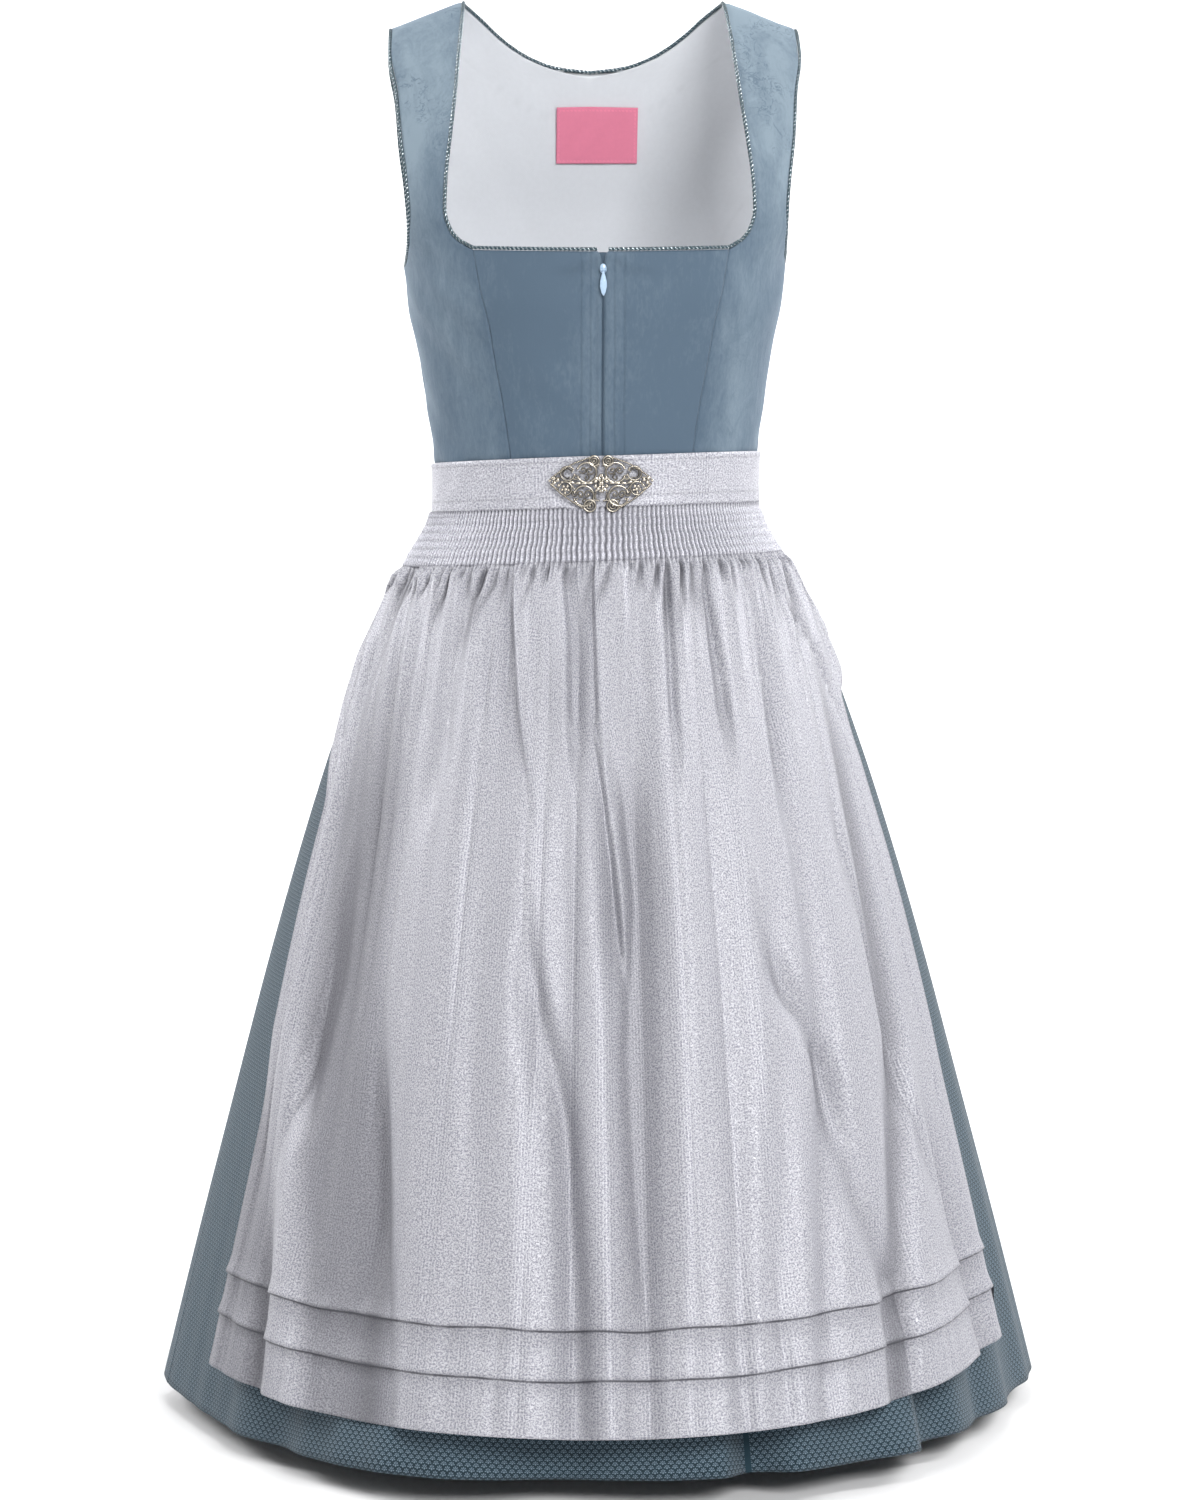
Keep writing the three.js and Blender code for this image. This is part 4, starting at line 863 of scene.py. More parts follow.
def two_halves(name, turn, drop, levels, marks, thin, slots):
    """One object of two mirrored walls between two levels, which share the centre line below the
    neckline."""
    parts, count = [], 0
    rows, columns = drop.shape
    for side in (1, -1):
        outer, inner = (on_form(turn, drop, level) * (side, 1, 1) for level in levels)
        points, faces, uvs, spread = closed_wall(outer, inner, cloth_uv(outer, drop), thin, marks)
        r, c = picks(rows, thin), picks(columns, thin)
        on_centre = np.zeros(len(points), bool)
        on_centre[np.arange(NECK_ROWS, rows) * columns + columns - 1] = True
        on_centre[(rows * columns + np.arange(len(r)) * len(c) + len(c) - 1)[r >= NECK_ROWS]] = True
        faces[1] = faces[1][~on_centre[faces[1]].all(1)]
        parts.append((points, [f + count for f in faces], uvs, spread))
        count += len(points)
    points, uvs = (np.concatenate([part[k] for part in parts]) for k in (0, 2))
    near = np.flatnonzero(np.abs(points[:, 0]) < 1e-3)
    places = np.round(points[near], 3) + 0.0
    first, same = np.unique(places, axis=0, return_index=True, return_inverse=True)[1:]
    merged = np.arange(count)
    merged[near] = near[first[same.ravel()]]
    used, fresh = np.unique(merged, return_inverse=True)
    faces = [fresh[np.concatenate(both)] for both in zip(*(part[1] for part in parts))]
    spread = {key: np.concatenate([part[3][key] for part in parts])[used] for key in marks}
    return new_object(name, points[used], faces, uvs[used], spread, slots)


def beside_edge(turn, drop, radius):
    """Centre line of a piping: beside a cut edge, on its open side, near the outer face."""
    proud, off_edge = 0.5, 0.25
    points = on_form(turn, drop, np.full(len(turn), proud - radius))
    along = np.gradient(points, axis=0)
    along /= np.linalg.norm(along, axis=1, keepdims=True)
    away = np.cross(form_normal(turn, drop), along)
    return points + away / np.linalg.norm(away, axis=1, keepdims=True) * (off_edge + radius)


def length_along(path):
    """Distance along a path, from its start."""
    return np.r_[0, np.cumsum(np.linalg.norm(np.diff(path, axis=0), axis=1))]


def resample(path, step, closed):
    """The path at even steps."""
    if closed:
        path = np.concatenate([path, path[:1]])
    at = length_along(path)
    t = np.linspace(0, at[-1], int(round(at[-1] / step)) + 1)
    even = np.stack([np.interp(t, at, path[:, k]) for k in range(3)], 1)
    return even[:-1] if closed else even


def piping(name, path, radius, pitch, closed):
    """A twisted cord: radius r (1 + 0.13 cos(2 a - turn)), spiral marks for the glitter thread."""
    step, sides = 0.9, 10
    path = resample(path, step, closed)
    points, faces = tube(path, radius, sides, closed)
    phase = 2 * round_trip(sides) - (np.arange(len(path)) * step / pitch * 2 * np.pi)[:, None]
    lobes = 1 + 0.13 * np.cos(phase)[..., None]
    points = (path[:, None] + (points.reshape(-1, sides, 3) - path[:, None]) * lobes).reshape(-1, 3)
    spiral = 0.5 + 0.5 * np.cos(phase)
    return new_object(name, points, outward(points, faces), None, {"spiral": spiral})


def armhole_path(side, radius):
    """Round the armhole: down the front edge and up the back edge."""
    down = np.linspace(0.02, math.sqrt(UNDERARM - 0.5), 60) ** 2
    up = down[::-1][down[::-1] > 1.0]
    turn = np.r_[turn_at(armhole_x(down), down), 90.0, turn_at(armhole_x(up), up, True)]
    return beside_edge(turn, np.r_[down, UNDERARM, up], radius) * (side, 1, 1)


def neck_path(radius):
    """Round the neckline from the zip's right side, over the back, to its left side."""
    x = np.linspace(4.2, 92, 30)
    low = neck_drop(x)
    up = np.linspace(math.sqrt(NECK_CORNER), 0.02, 60) ** 2
    down = np.linspace(1.0, math.sqrt(BACK_NECK), 40) ** 2
    turn = np.r_[turn_at(x, low), turn_at(neck_front_x(up), up),
                 turn_at(neck_back_x(down), down, True)]
    path = beside_edge(turn, np.r_[low, up, down], radius)
    path[-1, 0] = 0
    return np.concatenate([path, path[-2::-1] * (-1, 1, 1)])


# ---------------------------------------------------------------- band, label and zip
def band_middle(turn):
    """Drop of the waistband's middle line: higher at its right."""
    return BELT["middle"] - BELT["rise"] * np.sin(np.radians(turn))


def belt_half(p, side):
    """Flat band: topstitched near both edges, lightly puckered, ending under the clasp."""
    turn = np.linspace(*((-179.9, -1.01) if side < 0 else (-1.0, 179.9)), 300)
    share = 0.5 - 0.5 * np.cos(np.linspace(0, np.pi, 46))[:, None]
    across = share * 2 * BELT["half"]
    drop = band_middle(turn) + across - BELT["half"]
    if side < 0:
        drop = drop + 2.6 * rise((turn + 13) / 9) * share ** 3
    stitch = groove(across - 4, STITCH_DEPTH, 0.7) + groove(across - 30, STITCH_DEPTH, 0.7)
    round_edge = groove(across, 0.9, 0.9) + groove(2 * BELT["half"] - across, 0.9, 0.9)
    length = np.radians(turn) * BELT["radius"]
    pucker = 0.28 * np.sin(length / 1.9 + 3 * wander(length / 40, 91 + side)) * (
        bump(across, 2, 3) + bump(across, 33, 5))
    soft = 0.5 * wander(length / 11 + across / 9, 93 + side, 5)
    out = BELT["out"] + BAND + pucker + soft * p.softness - stitch - round_edge
    turn = np.broadcast_to(turn, drop.shape)
    # painted shade in the topstitching and along the rounded edges
    crease = np.clip(0.25 * stitch / STITCH_DEPTH + 0.12 * round_edge, 0, 1)
    uv = np.stack(np.broadcast_arrays(length, across), -1) * MM
    return wall_object(f"belt_{side_word(side)}", on_form(turn, drop, out),
                       on_form(turn, drop, BELT["out"]), uv, 3, {"crease": crease})


def label_piece():
    """A bare woven label on the lining, stitched round its edge, lightly waved."""
    reach, top, bottom = LABEL["width"] / 2, LABEL["top"], LABEL["bottom"]
    x, drop = np.meshgrid(LABEL["middle"] + np.linspace(-reach, reach, 64),
                          np.linspace(top, bottom, 40))
    turn = 180 + np.sign(x) * (turn_at(np.abs(x), drop, True) - 180)
    edge = np.minimum(reach - np.abs(x - LABEL["middle"]), np.minimum(drop - top, bottom - drop))
    face = UNDER_VELVET - LINING - LABEL["off_lining"]
    wave = 0.5 * wander(x / 9 + drop / 13, 101, 4) * rise(edge / 6)
    inner = face - 0.8 - np.clip(wave, -0.3, 0.6) + groove(edge - 1.6, STITCH_DEPTH, 0.5)
    # the mark here holds the stitches round the edge, in a lighter thread colour
    crease = np.clip(bump(edge, 1.6, 0.45) * (np.sin((x + drop) * 2.2) > -0.3), 0, 1)
    return wall_object("label", on_form(turn, drop, inner), on_form(turn, drop, face + 0.4),
                       np.stack([x, drop], -1) * MM, 2, {"crease": crease})


def zip_tape():
    """The tape behind the zip and its closed coil: x = a sin(drop / pitch)."""
    reach, thickness = 11, 0.8
    x, drop = np.meshgrid(np.linspace(-reach, reach, 17), np.linspace(NECK_LOW + 0.6, WAIST, 70))
    turn = turn_at(x, drop)
    outer, inner = (on_form(turn, drop, UNDER_VELVET - depth) for depth in (0, thickness))
    tape = closed_wall(outer, inner, cloth_uv(outer, drop), 2, {})
    down = np.linspace(6 - ZIP_SEAT[2], WAIST - 4, 900)
    phase = down * 2 * np.pi / COIL["pitch"]
    turn = turn_at(COIL["swing"] * np.sin(phase), down)
    coil = on_form(turn, down, -1.0 + 0.35 * np.cos(2 * phase))
    return joined([tape[:2], tube(coil, COIL["wire"], 5)])


def pull_tab():
    """Leaf-shaped tab: a closed lens (w(t) cos a, d(t) sin a) along its length, with an eye ring."""
    sides, length, eye_radius, wire = 16, 17.6, 1.25, 0.42
    t = np.linspace(0, 1, 40)[:, None]
    half = np.interp(t, (0, 0.08, 0.2, 0.4, 0.62, 0.85, 0.96, 1),
                     (0.9, 1.0, 1.6, 2.4, 2.6, 1.6, 0.7, 0.02))
    depth = np.interp(t, (0, 0.1, 0.5, 0.9, 1), (0.5, 0.5, 0.6, 0.45, 0.02))
    angle = round_trip(sides)
    lens = np.sign(np.sin(angle)) * np.abs(np.sin(angle)) ** 0.6
    rings = np.stack([half * np.cos(angle), depth * lens, -1.0 - t * length + 0 * angle], -1)
    index = ring_index(len(t), sides)
    caps = [fan(0, index[0, 1:-1]), fan(index[-1, 0], index[-1, 1:-1])[:, [0, 2, 1]]]
    turn = round_trip(20)
    eye = np.stack([0 * turn, eye_radius * np.cos(turn), eye_radius * np.sin(turn)], 1)
    return joined([(rings.reshape(-1, 3), [grid_faces(index), np.concatenate(caps)]),
                   tube(eye, wire, 8, closed=True)])


def slider():
    """Slider: a rounded plate, two cheeks and the bridge pin."""
    plate = ball((0, 2.7, 1.2), (2.5, 0.7, 3.6), 10, 20)
    cheeks = [ball((x, 0.9, 0.2), (0.55, 2.0, 1.6), 8, 12) for x in (-1.9, 1.9)]
    pin = np.linspace(-2.1, 2.1, 5)[:, None] * (1, 0, 0)
    return joined([plate, *cheeks, tube(pin, 0.6, 12)])


# ---------------------------------------------------------------- skirt and apron
def skirt_out(turn, drop):
    """Offset of the skirt: folds growing to the hem, less what the apron presses in."""
    growth = np.maximum(0, (drop - 400) / (HEM - 400)) ** 1.15
    height = rise((drop - 412) / 70) * rise((970 - drop) / 120)
    return skirt_fold(turn) * growth - 11 * height * rise((62 - np.abs(turn)) / 14)


def gathers(turn, drop, seed, count, depth, end, spread):
    """Irregular gathers: sharp ridges |cos| of a wandering phase, each dying out at its own drop."""
    phase = turn * count / 360 * 2 * np.pi + 1.4 * wander(turn / 7, seed, 5)
    ridge = 1 - np.abs(np.sin(phase / 2)) ** 0.8 * 2
    reach = end + spread * wander(turn / 3.1, seed + 1, 5)
    return depth * ridge * rise((reach - drop) / (reach - WAIST) * 1.25)


def skirt_piece(p, name, start, stop, columns):
    """One skirt width: fine gathers at the waist of the back width only, large folds at the hem, a
    stitched hem turn-up.
    """
    drop = np.r_[np.linspace(WAIST + SEAM, 420, 20), np.linspace(420, 620, 34)[1:],
                 np.linspace(620, HEM, 60)[1:]]
    turn, drop = np.meshgrid(np.linspace(start, stop, columns), drop)
    out = skirt_out(turn, drop)
    if start >= 90:
        fade = rise((turn - 92) / 6) * rise((268 - turn) / 6) * rise((drop - WAIST) / 14)
        small = gathers(turn, drop, seed=111, count=58, depth=2.6, end=540, spread=60)
        large = gathers(turn, drop, seed=113, count=27, depth=2.56, end=690, spread=90)
        out = out + fade * (small + large - 2.4 * rise((560 - drop) / 200))
    hem_seam = groove(drop - (HEM - 32), 0.5, 1.4)
    ripple = 1.6 * wander(np.radians(turn) * 24, 115, 6) * rise((drop - 700) / 330)
    out = out + ripple * p.softness - hem_seam
    outer = on_form(turn, drop, out)
    uv = np.stack(np.broadcast_arrays(arc(outer[-1]), drop), -1) * MM
    # painted shade along the hem's stitched groove, mixed into the wrong side only
    return wall_object(name, outer, on_form(turn, drop, out - CLOTH), uv, 4,
                       {"crease": 0.2 * hem_seam}, (0, 0, 1))


def apron_level(drop, turn):
    """Rows of the apron lie askew: smocking and hem are higher on the right."""
    edge = np.where(turn < 0, apron_left(HEM), apron_right(HEM))
    lift = np.where(turn < 0, 17, 31) * np.minimum(1, turn / edge) ** 2
    down = rise((drop - 800) / (APRON_HEM - 800))
    return drop - 5 * np.sin(np.radians(turn)) * rise((480 - drop) / 60) - lift * down


def apron_stand(turn, drop):
    """Distance of the apron off the skirt: more to the front and to the hem."""
    down = np.maximum(0, (drop - SMOCK_END) / (HEM - SMOCK_END)) ** 0.95
    sideways = np.minimum(np.abs(turn) / 75, 1)
    return 1 + (3 + 29 * np.cos(sideways * np.pi / 2) ** 2) * down


def across_apron(drop, share):
    """Turn at a share of the apron's width."""
    return apron_left(drop) + (apron_right(drop) - apron_left(drop)) * share


def smocking_rib(share):
    """Height of the smocking's ribs, 0 to 1: |cos| of a phase that wanders along the row."""
    return np.abs(np.cos((share * RIBS * 2 * np.pi + 0.9 * wander(share * 110, 121)) / 2)) ** 0.8


def smocked_head(p):
    """Smocking: ribs |cos| of the turn, each pinched by rows of stitches 6 mm apart."""
    per_rib = 8
    share = np.linspace(0, 1, RIBS * per_rib + 1)
    end = across_apron(SMOCK_END, share)
    top = band_middle(end) + BELT["half"] - 1.0
    bottom = apron_level(SMOCK_END, end)
    drop = top + (bottom - top) * np.linspace(0, 1, 46)[:, None]
    rib = smocking_rib(share)
    row_at = (bottom - drop) / p.smock_row * MM
    pinch = 0.16 * bump(row_at, np.round(row_at), 0.17)
    slack = rise((drop - 366) / 10)
    jitter = 0.35 * wander(share * 130 + drop / 7, 123)
    out = 1.3 + (1.1 + 1.9 * slack) * rib * (1 - pinch) + jitter * slack + 0.5 * slack
    sway = 0.12 * np.sin(row_at * np.pi + 0.7 * wander(share * 90, 125)) * slack
    turn = across_apron(drop, share) + sway
    uv = np.stack(np.broadcast_arrays(share * 1250, drop), -1) * MM
    # painted shade: darker in the rib valleys and at the stitch pinches, with a painted shadow under
    # the belt's lower edge
    painted_belt_shadow = rise((3.5 - (drop - top)) / 3)
    crease = np.clip((1 - rib) ** 1.1 * 0.9 + pinch * 1.2 * rib + 0.5 * painted_belt_shadow, 0, 1)
    return wall_object("smocking", on_form(turn, drop, out), on_form(turn, drop, 0.9), uv, 8,
                       {"crease": crease})


# long creases of the apron: depth, width to the left and to the right, then drop and turn along it
CREASES = (
    (5.0, 9, 6, ((404, -69), (457, -68.8), (530, -66))),
    (3.0, 9, 5, ((404, -42), (436, -39.5), (536, -35.5), (620, -36))),
    (5.0, 13, 2, ((404, -27), (436, -25.2), (526, -19.2), (600, -14))),
    (4.0, 2, 7, ((404, -11), (453, -9), (494, -8.2), (580, -7))),
    (5.0, 9, 1.8, ((404, -3.6), (454, -3.5), (546, -2.8), (614, -0.8), (730, 1.6))),
    (2.2, 2.5, 2, ((410, 17), (504, 13.5), (590, 12))),
    (4.5, 10, 2.5, ((404, 28.5), (450, 27), (490, 26), (580, 24))),
    (4.0, 3, 10, ((410, 44), (472, 39.2), (529, 36.2), (620, 32.5))),
    (3.0, 5, 5, ((425, 55), (476, 63), (560, 67))),
    (6.0, 4, 15, ((590, -55), (654, -57), (707, -55), (761, -55.5), (850, -56.5))),
    (6.0, 8, 10, ((800, -58), (834, -58), (902, -55.8), (936, -54.8), (1080, -53))),
    (7.0, 10, 8, ((690, -40), (752, -37.8), (855, -34), (922, -32.2), (1080, -30))),
    (3.5, 6, 6, ((860, 12.8), (918, 13.2), (1080, 14))),
    (5.0, 5, 9, ((740, 53.6), (801, 54.2), (874, 55.8), (932, 56.2), (1080, 57.5))),
    (6.0, 13, 6, ((620, -15), (681, -13.8), (800, -7.5), (916, -5.5), (1060, -4.5))),
    (4.0, 4, 13, ((540, 1.5), (646, 3.5), (748, 1.4), (850, 2), (960, 3))),
    (5.5, 9, 8, ((620, 22), (702, 26.2), (766, 32.4), (859, 33.4), (910, 37), (1080, 38.5))),
    (3.0, 8, 3, ((560, 47), (660, 49), (800, 50), (900, 53))),
)


def apron_creases(turn, level):
    """Depth of the long creases: bells across each path, of one width to the left and another to
    the right, fading in and out along it."""
    total = 0
    for depth, left, right, path in CREASES:
        drops, turns = np.array(path, float).T
        aside = (turn - np.interp(level, drops, turns)) * np.radians(1) * form_half(level)
        width = np.where(aside < 0, left, right) * (1 + (level - drops[0]) / 500)
        start = rise((level - drops[0]) / (20 + (drops[0] - 400) / 2.5))
        total = total + 1.6 * depth * bump(aside, 0, width) * start * rise((drops[-1] - level) / 70)
    return total


def pits(share, below, seed, count):
    """V-shaped pits under the smocking: bells that widen and fade downwards."""
    rng = np.random.default_rng(seed)
    total = 0
    for k in range(count):
        at = (k + 0.5 + rng.uniform(-0.35, 0.35)) / count
        length, depth = rng.uniform(0.3, 1) ** 1.6 * 95, rng.uniform(3.0, 6.0)
        aside = (share - at) * 430 + rng.uniform(-0.14, 0.14) * below
        pit = depth * bump(aside, 0, 1.0 + 0.075 * below)
        total = total + pit * rise(below / 5) * rise(1 - below / length)
    return total


def tuck_rise(share, drop, tuck):
    """A tuck: a lip that grows to its stitched line and drops off below it."""
    inside = np.clip((drop - (tuck - TUCK_HEIGHT)) / TUCK_HEIGHT, 0, 1)
    lift = 1 + 0.45 * wander(share * 60, 139 + tuck, 6)
    return 2.3 * lift * inside ** 1.5 * (1 - rise(drop - tuck)) * (drop > tuck - TUCK_HEIGHT)


def apron_skin(p):
    """Apron panel: gathers below the smocking, large folds, two tucks and a turned-up hem."""
    share = np.linspace(0, 1, RIBS * 6 + 1)
    tucks = [np.r_[np.linspace(t - TUCK_HEIGHT, t - 0.4, 7), t + np.array((0.1, 0.7, 1.6))]
             for t in TUCKS]
    drop = np.unique(np.r_[np.linspace(SMOCK_END, 436, 17), np.linspace(436, 520, 24),
                           np.linspace(520, 900, 44), 912, np.concatenate(tucks), 980, 990, 997,
                           1002, 1005, APRON_HEM])[:, None]
    below = drop - SMOCK_END
    turn = across_apron(drop, share)
    level = apron_level(drop, turn)
    level = level + sum(1.4 * wander(share * 26, 145 + t, 6) * bump(drop, t, 16) for t in TUCKS)
    height = apron_fold(turn * (1 + np.where(level > 750, 0.0017, 0.0006) * (level - 750)))
    fold = height * rise((level - 420) / 260)
    # painted shade for the valleys of the large folds, darker where the fold is low
    painted_valley_shade = rise((2 - height) / 12) * rise((level - 440) / 160)
    lane_width = APRON_WIDTH * (1 + (level - SMOCK_END) / 1100)
    lane = 0.5 + turn * form_half(level) / form_half(SMOCK_END) / lane_width
    small = gathers(lane * 360, level, seed=131, count=52, depth=1.6, end=450, spread=26)
    large = gathers(lane * 360, level, seed=133, count=23, depth=1.7, end=560, spread=90)
    rib_end = 17 + 12 * wander(share * 150, 147, 5)
    rib = (2.2 * smocking_rib(share) - 1.2) * rise((rib_end - below) / 16)
    broad = 3.2 * wander(lane * 34, 135, 6) * rise((level - 430) / 90)
    crisp = 4.4 * (np.abs(wander(lane * 44 + level / 900, 137, 5)) ** 0.75 - 0.35)
    crisp = crisp * rise((level - 425) / 60) * (0.4 + 0.6 * rise((880 - level) / 380))
    rucked = bump(drop, 953, 14) + bump(drop, 986, 16) + 0.6 * bump(drop, 920, 12)
    rucks = 0.8 * wander(share * 190, 141, 6) * rucked
    creased = apron_creases(turn, level)
    pitted = pits(share, below, seed=143, count=46)
    tuck = sum(tuck_rise(share, drop, t) for t in TUCKS)
    along = arc(form_point(turn, level))
    edge = np.minimum(along - along[:, :1], along[:, -1:] - along)
    side_hem = 0.9 * rise((15 - edge) / 2.5) * rise((level - 470) / 60)
    side_hem = side_hem - groove(edge - 16, 0.6, 1.5)
    out = apron_stand(turn, level) + CLOTH + fold - creased - pitted + rib
    out = out + 1.3 * rise((26 - below) / 26)
    out = out + rise(below / 10) * (small + large + 4.0 * rise((600 - level) / 150))
    out = out + (broad + crisp + rucks) * p.softness
    floor, ease = skirt_out(turn, level) + 1.7, 0.8
    out = floor + ease * np.logaddexp(0, (out - floor) / ease)
    out = out + tuck + side_hem + 0.5 * rise((drop - 996) / 3)
    outer, inner = on_form(turn, level, out), on_form(turn, level, out - tuck - CLOTH)
    width = arc(outer[-30])  # along a row just above the tucks
    uv = np.stack(np.broadcast_arrays(width, drop), -1) * MM
    # painted shade: shadows under the tucks, darker in the pits, the long creases and the valleys of
    # the folds, below the smocking's ribs and along the side edges
    shadow = sum(bump(drop, t + 0.5, 0.8) * (1.1 + 0.5 * wander(share * 90, 149 + t)) for t in TUCKS)
    crease = 0.95 * shadow + 0.17 * pitted + 0.02 * creased + 0.5 * painted_valley_shade
    crease = crease + 0.35 * rise((14 - below) / 14) * (rib < 0) + 0.3 * bump(edge, 0, 1.6)
    return wall_object("apron", outer, inner, uv, 3, {"crease": np.clip(crease, 0, 1)})


# ---------------------------------------------------------------- clasp
# right half in its own plane: u to the side, v up, in millimetres from the clasp's centre
C_SCROLLS = (  # u, v, radius, from, to (degrees), wire
    (10.5, 7.9, 7.2, 25, 335, 0.62), (12.6, -9.1, 7.3, 20, 340, 0.62), (24.4, 7.3, 5.1, 190, 500, 0.55),
    (24.4, 7.3, 3.4, 240, 520, 0.4), (5.0, 16.3, 3.6, 0, 360, 0.6), (5.0, 16.3, 1.9, 0, 360, 0.5),
    (8.3, -16.3, 4.2, 0, 360, 0.6), (8.3, -16.3, 2.3, 0, 360, 0.5), (26.2, -3.6, 4.8, 40, 320, 0.55),
)
CURLS = (  # u, v, first radius, last radius, from, to, wire: inner curls of the scrolls
    (8.0, 9.5, 3.2, 0.7, 200, 560, 0.45), (13.2, 10.0, 3.0, 0.7, -20, -380, 0.45),
    (9.6, -8.0, 3.3, 0.7, 160, -200, 0.45), (15.2, -8.4, 3.1, 0.7, 20, 380, 0.45),
    (10.6, 4.2, 2.4, 0.6, 90, 420, 0.42), (12.4, -13.0, 2.5, 0.6, 270, -60, 0.42),
    (19.6, -6.8, 3.0, 0.8, 150, 460, 0.45), (18.4, 3.8, 2.6, 0.7, 200, -120, 0.45),
)
STEMS = (  # u, v pairs of gently bent wires
    ((0.9, 13.0), (2.6, 14.2), (4.6, 12.8)), ((1.2, -12.6), (3.6, -12.4), (6.2, -12.6)),
    ((16.8, 3.4), (19.4, 2.6), (21.0, 4.2)), ((18.6, -5.0), (20.4, -3.0), (22.0, -1.0)),
    ((29.6, 3.8), (33.0, 4.6), (36.6, 3.2)), ((30.6, -4.2), (33.6, -3.0), (36.4, 0.2)),
    ((3.0, 8.6), (3.6, 11.2), (2.0, 13.2)), ((3.6, -6.6), (4.6, -9.8), (3.2, -12.6)),
)
BORDERS = (((7.5, 19.2), (12.0, 17.4), (18.0, 15.4), (24.0, 12.6), (30.0, 8.6), (36.8, 3.6)),
           ((12.0, -18.6), (17.0, -15.8), (22.0, -12.6), (27.0, -9.0), (32.0, -4.8), (37.0, -0.2)))
BEADS = (  # u, v, radius
    (0.3, 5.7, 1.5), (4.0, 1.6, 1.6), (4.1, -2.0, 1.5), (0.4, -5.4, 1.5), (0.4, 0.0, 1.7),
    (24.6, -2.0, 1.3), (27.4, -2.0, 1.3), (26.0, -4.3, 1.4), (28.6, -4.6, 1.2), (23.8, -4.8, 1.2),
    (26.4, -6.8, 1.2), (31.6, 2.6, 1.6), (34.2, 0.6, 1.6), (34.6, 3.6, 1.5), (37.4, 2.0, 1.1),
    (20.2, 9.8, 0.9), (17.6, -11.4, 0.9), (5.0, 16.3, 0.9), (8.3, -16.3, 1.0), (8.0, 9.5, 0.8),
    (13.2, 10.0, 0.8), (9.6, -8.0, 0.8), (15.2, -8.4, 0.8), (31.0, -1.4, 1.3), (28.6, 1.0, 1.2),
)
PETALS = (  # u, v, degrees
    (1.0, 2.9, 70), (3.0, 3.6, 40), (2.8, -4.4, -45), (1.2, -3.2, -75), (8.0, 0.4, 0),
    (16.8, 0.2, 180), (12.2, 0.2, 0), (21.2, 0.9, 20),
)


def flat_wire(path, radius):
    """A round wire along a path of u and v in the clasp's plane."""
    return tube(np.insert(path, 1, 0.0, axis=1), radius, 8)


def circular(u, v, radius, angle):
    """Places u + r cos a, v + r sin a."""
    return np.stack([u + radius * np.cos(angle), v + radius * np.sin(angle)], 1)


def bent(points, count):
    """Bent path through a few points: straight pieces, averaged with their neighbours."""
    t, at = np.linspace(0, len(points) - 1, count), np.arange(len(points))
    path = np.stack([np.interp(t, at, values) for values in np.array(points, float).T], 1)
    for _ in range(2 * count // len(points)):
        path[1:-1] = (path[:-2] + 2 * path[1:-1] + path[2:]) / 4
    return path


def scroll(u, v, radius, start, stop, wire):
    """An open scroll of wire with a ball at each end, or a whole ring."""
    whole = stop - start >= 360
    angle = np.radians(np.linspace(start, stop, 33))[:-1 if whole else None]
    path = np.insert(circular(u, v, radius, angle), 1, 0.0, axis=1)
    ends = () if whole else (0, -1)
    balls = [ball(path[k] + (0, -0.1, 0), wire * 1.7) for k in ends]
    return [tube(path, wire * WIRE, 8, whole), *balls]


def beaded(border):
    """A border wire with a row of small beads on it."""
    path = bent(border, 60)
    at = length_along(path)
    places = [(np.interp(s, at, path[:, 0]), -0.45, np.interp(s, at, path[:, 1]))
              for s in np.arange(0.4, at[-1], 1.25)]
    return [flat_wire(path, 0.5 * WIRE), *(ball(place, 0.62, 5, 7) for place in places)]


def petal(u, v, degrees):
    """A long flat ball, turned in the clasp's plane."""
    points, faces = ball((0, 0, 0), (2.6, 0.8, 1.1), 6, 10)
    c, s = math.cos(math.radians(degrees)), math.sin(math.radians(degrees))
    return points @ np.array([(c, 0, s), (0, 1, 0), (-s, 0, c)]) + (u, -0.3, v), faces


def clasp_half(side):
    """Filigree half: scrolls, curls, stems, a beaded border, petals and beads, laid on the band."""
    parts = [part for row in C_SCROLLS for part in scroll(*row)]
    for u, v, first, last, start, stop, wire in CURLS:
        angle = np.radians(np.linspace(start, stop, 30))
        parts.append(flat_wire(circular(u, v, np.linspace(first, last, 30), angle), wire * WIRE))
    parts += [flat_wire(bent(stem, 12), 0.5 * WIRE) for stem in STEMS]
    parts += [part for border in BORDERS for part in beaded(border)]
    parts += [ball((u, -0.5, v), (radius, 1.0, radius), 6, 10) for u, v, radius in BEADS]
    parts += [petal(*row) for row in PETALS]
    points, faces = joined(parts)
    across, depth, up = points.T
    x = CLASP["x"] + side * (np.maximum(across, 0.02) + 0.1)
    turn = turn_at(x, CLASP["drop"])
    edges = [band_middle(turn) + h * BELT["half"] for h in (-1, 1)]
    face = sum(on_form(turn, edge, BELT["out"] + BAND)[:, 1] for edge in edges) / 2
    placed = np.stack([x, face - CLASP["back"] + depth * 1.1, up - CLASP["drop"]], 1)
    # mark: darker towards the back of each wire, partly the blackening of antique silver and partly
    # painted shade
    return new_object(f"clasp_{side_word(side)}_half", placed, [f[:, ::side] for f in faces], None,
                      {"tarnish_and_shade_mark": rise((depth + 0.8) / 0.4)})


# ---------------------------------------------------------------- properties and operators
def size(name, value, low, high, about):
    """A length property in metres."""
    return bpy.props.FloatProperty(name=name, description=about, default=value, min=low, max=high,
                                   precision=5, subtype="DISTANCE", unit="LENGTH")


def colour(name, value, about):
    """A linear colour property."""
    return bpy.props.FloatVectorProperty(name=name, description=about, default=value, size=3,
                                         min=0, max=1, subtype="COLOR")


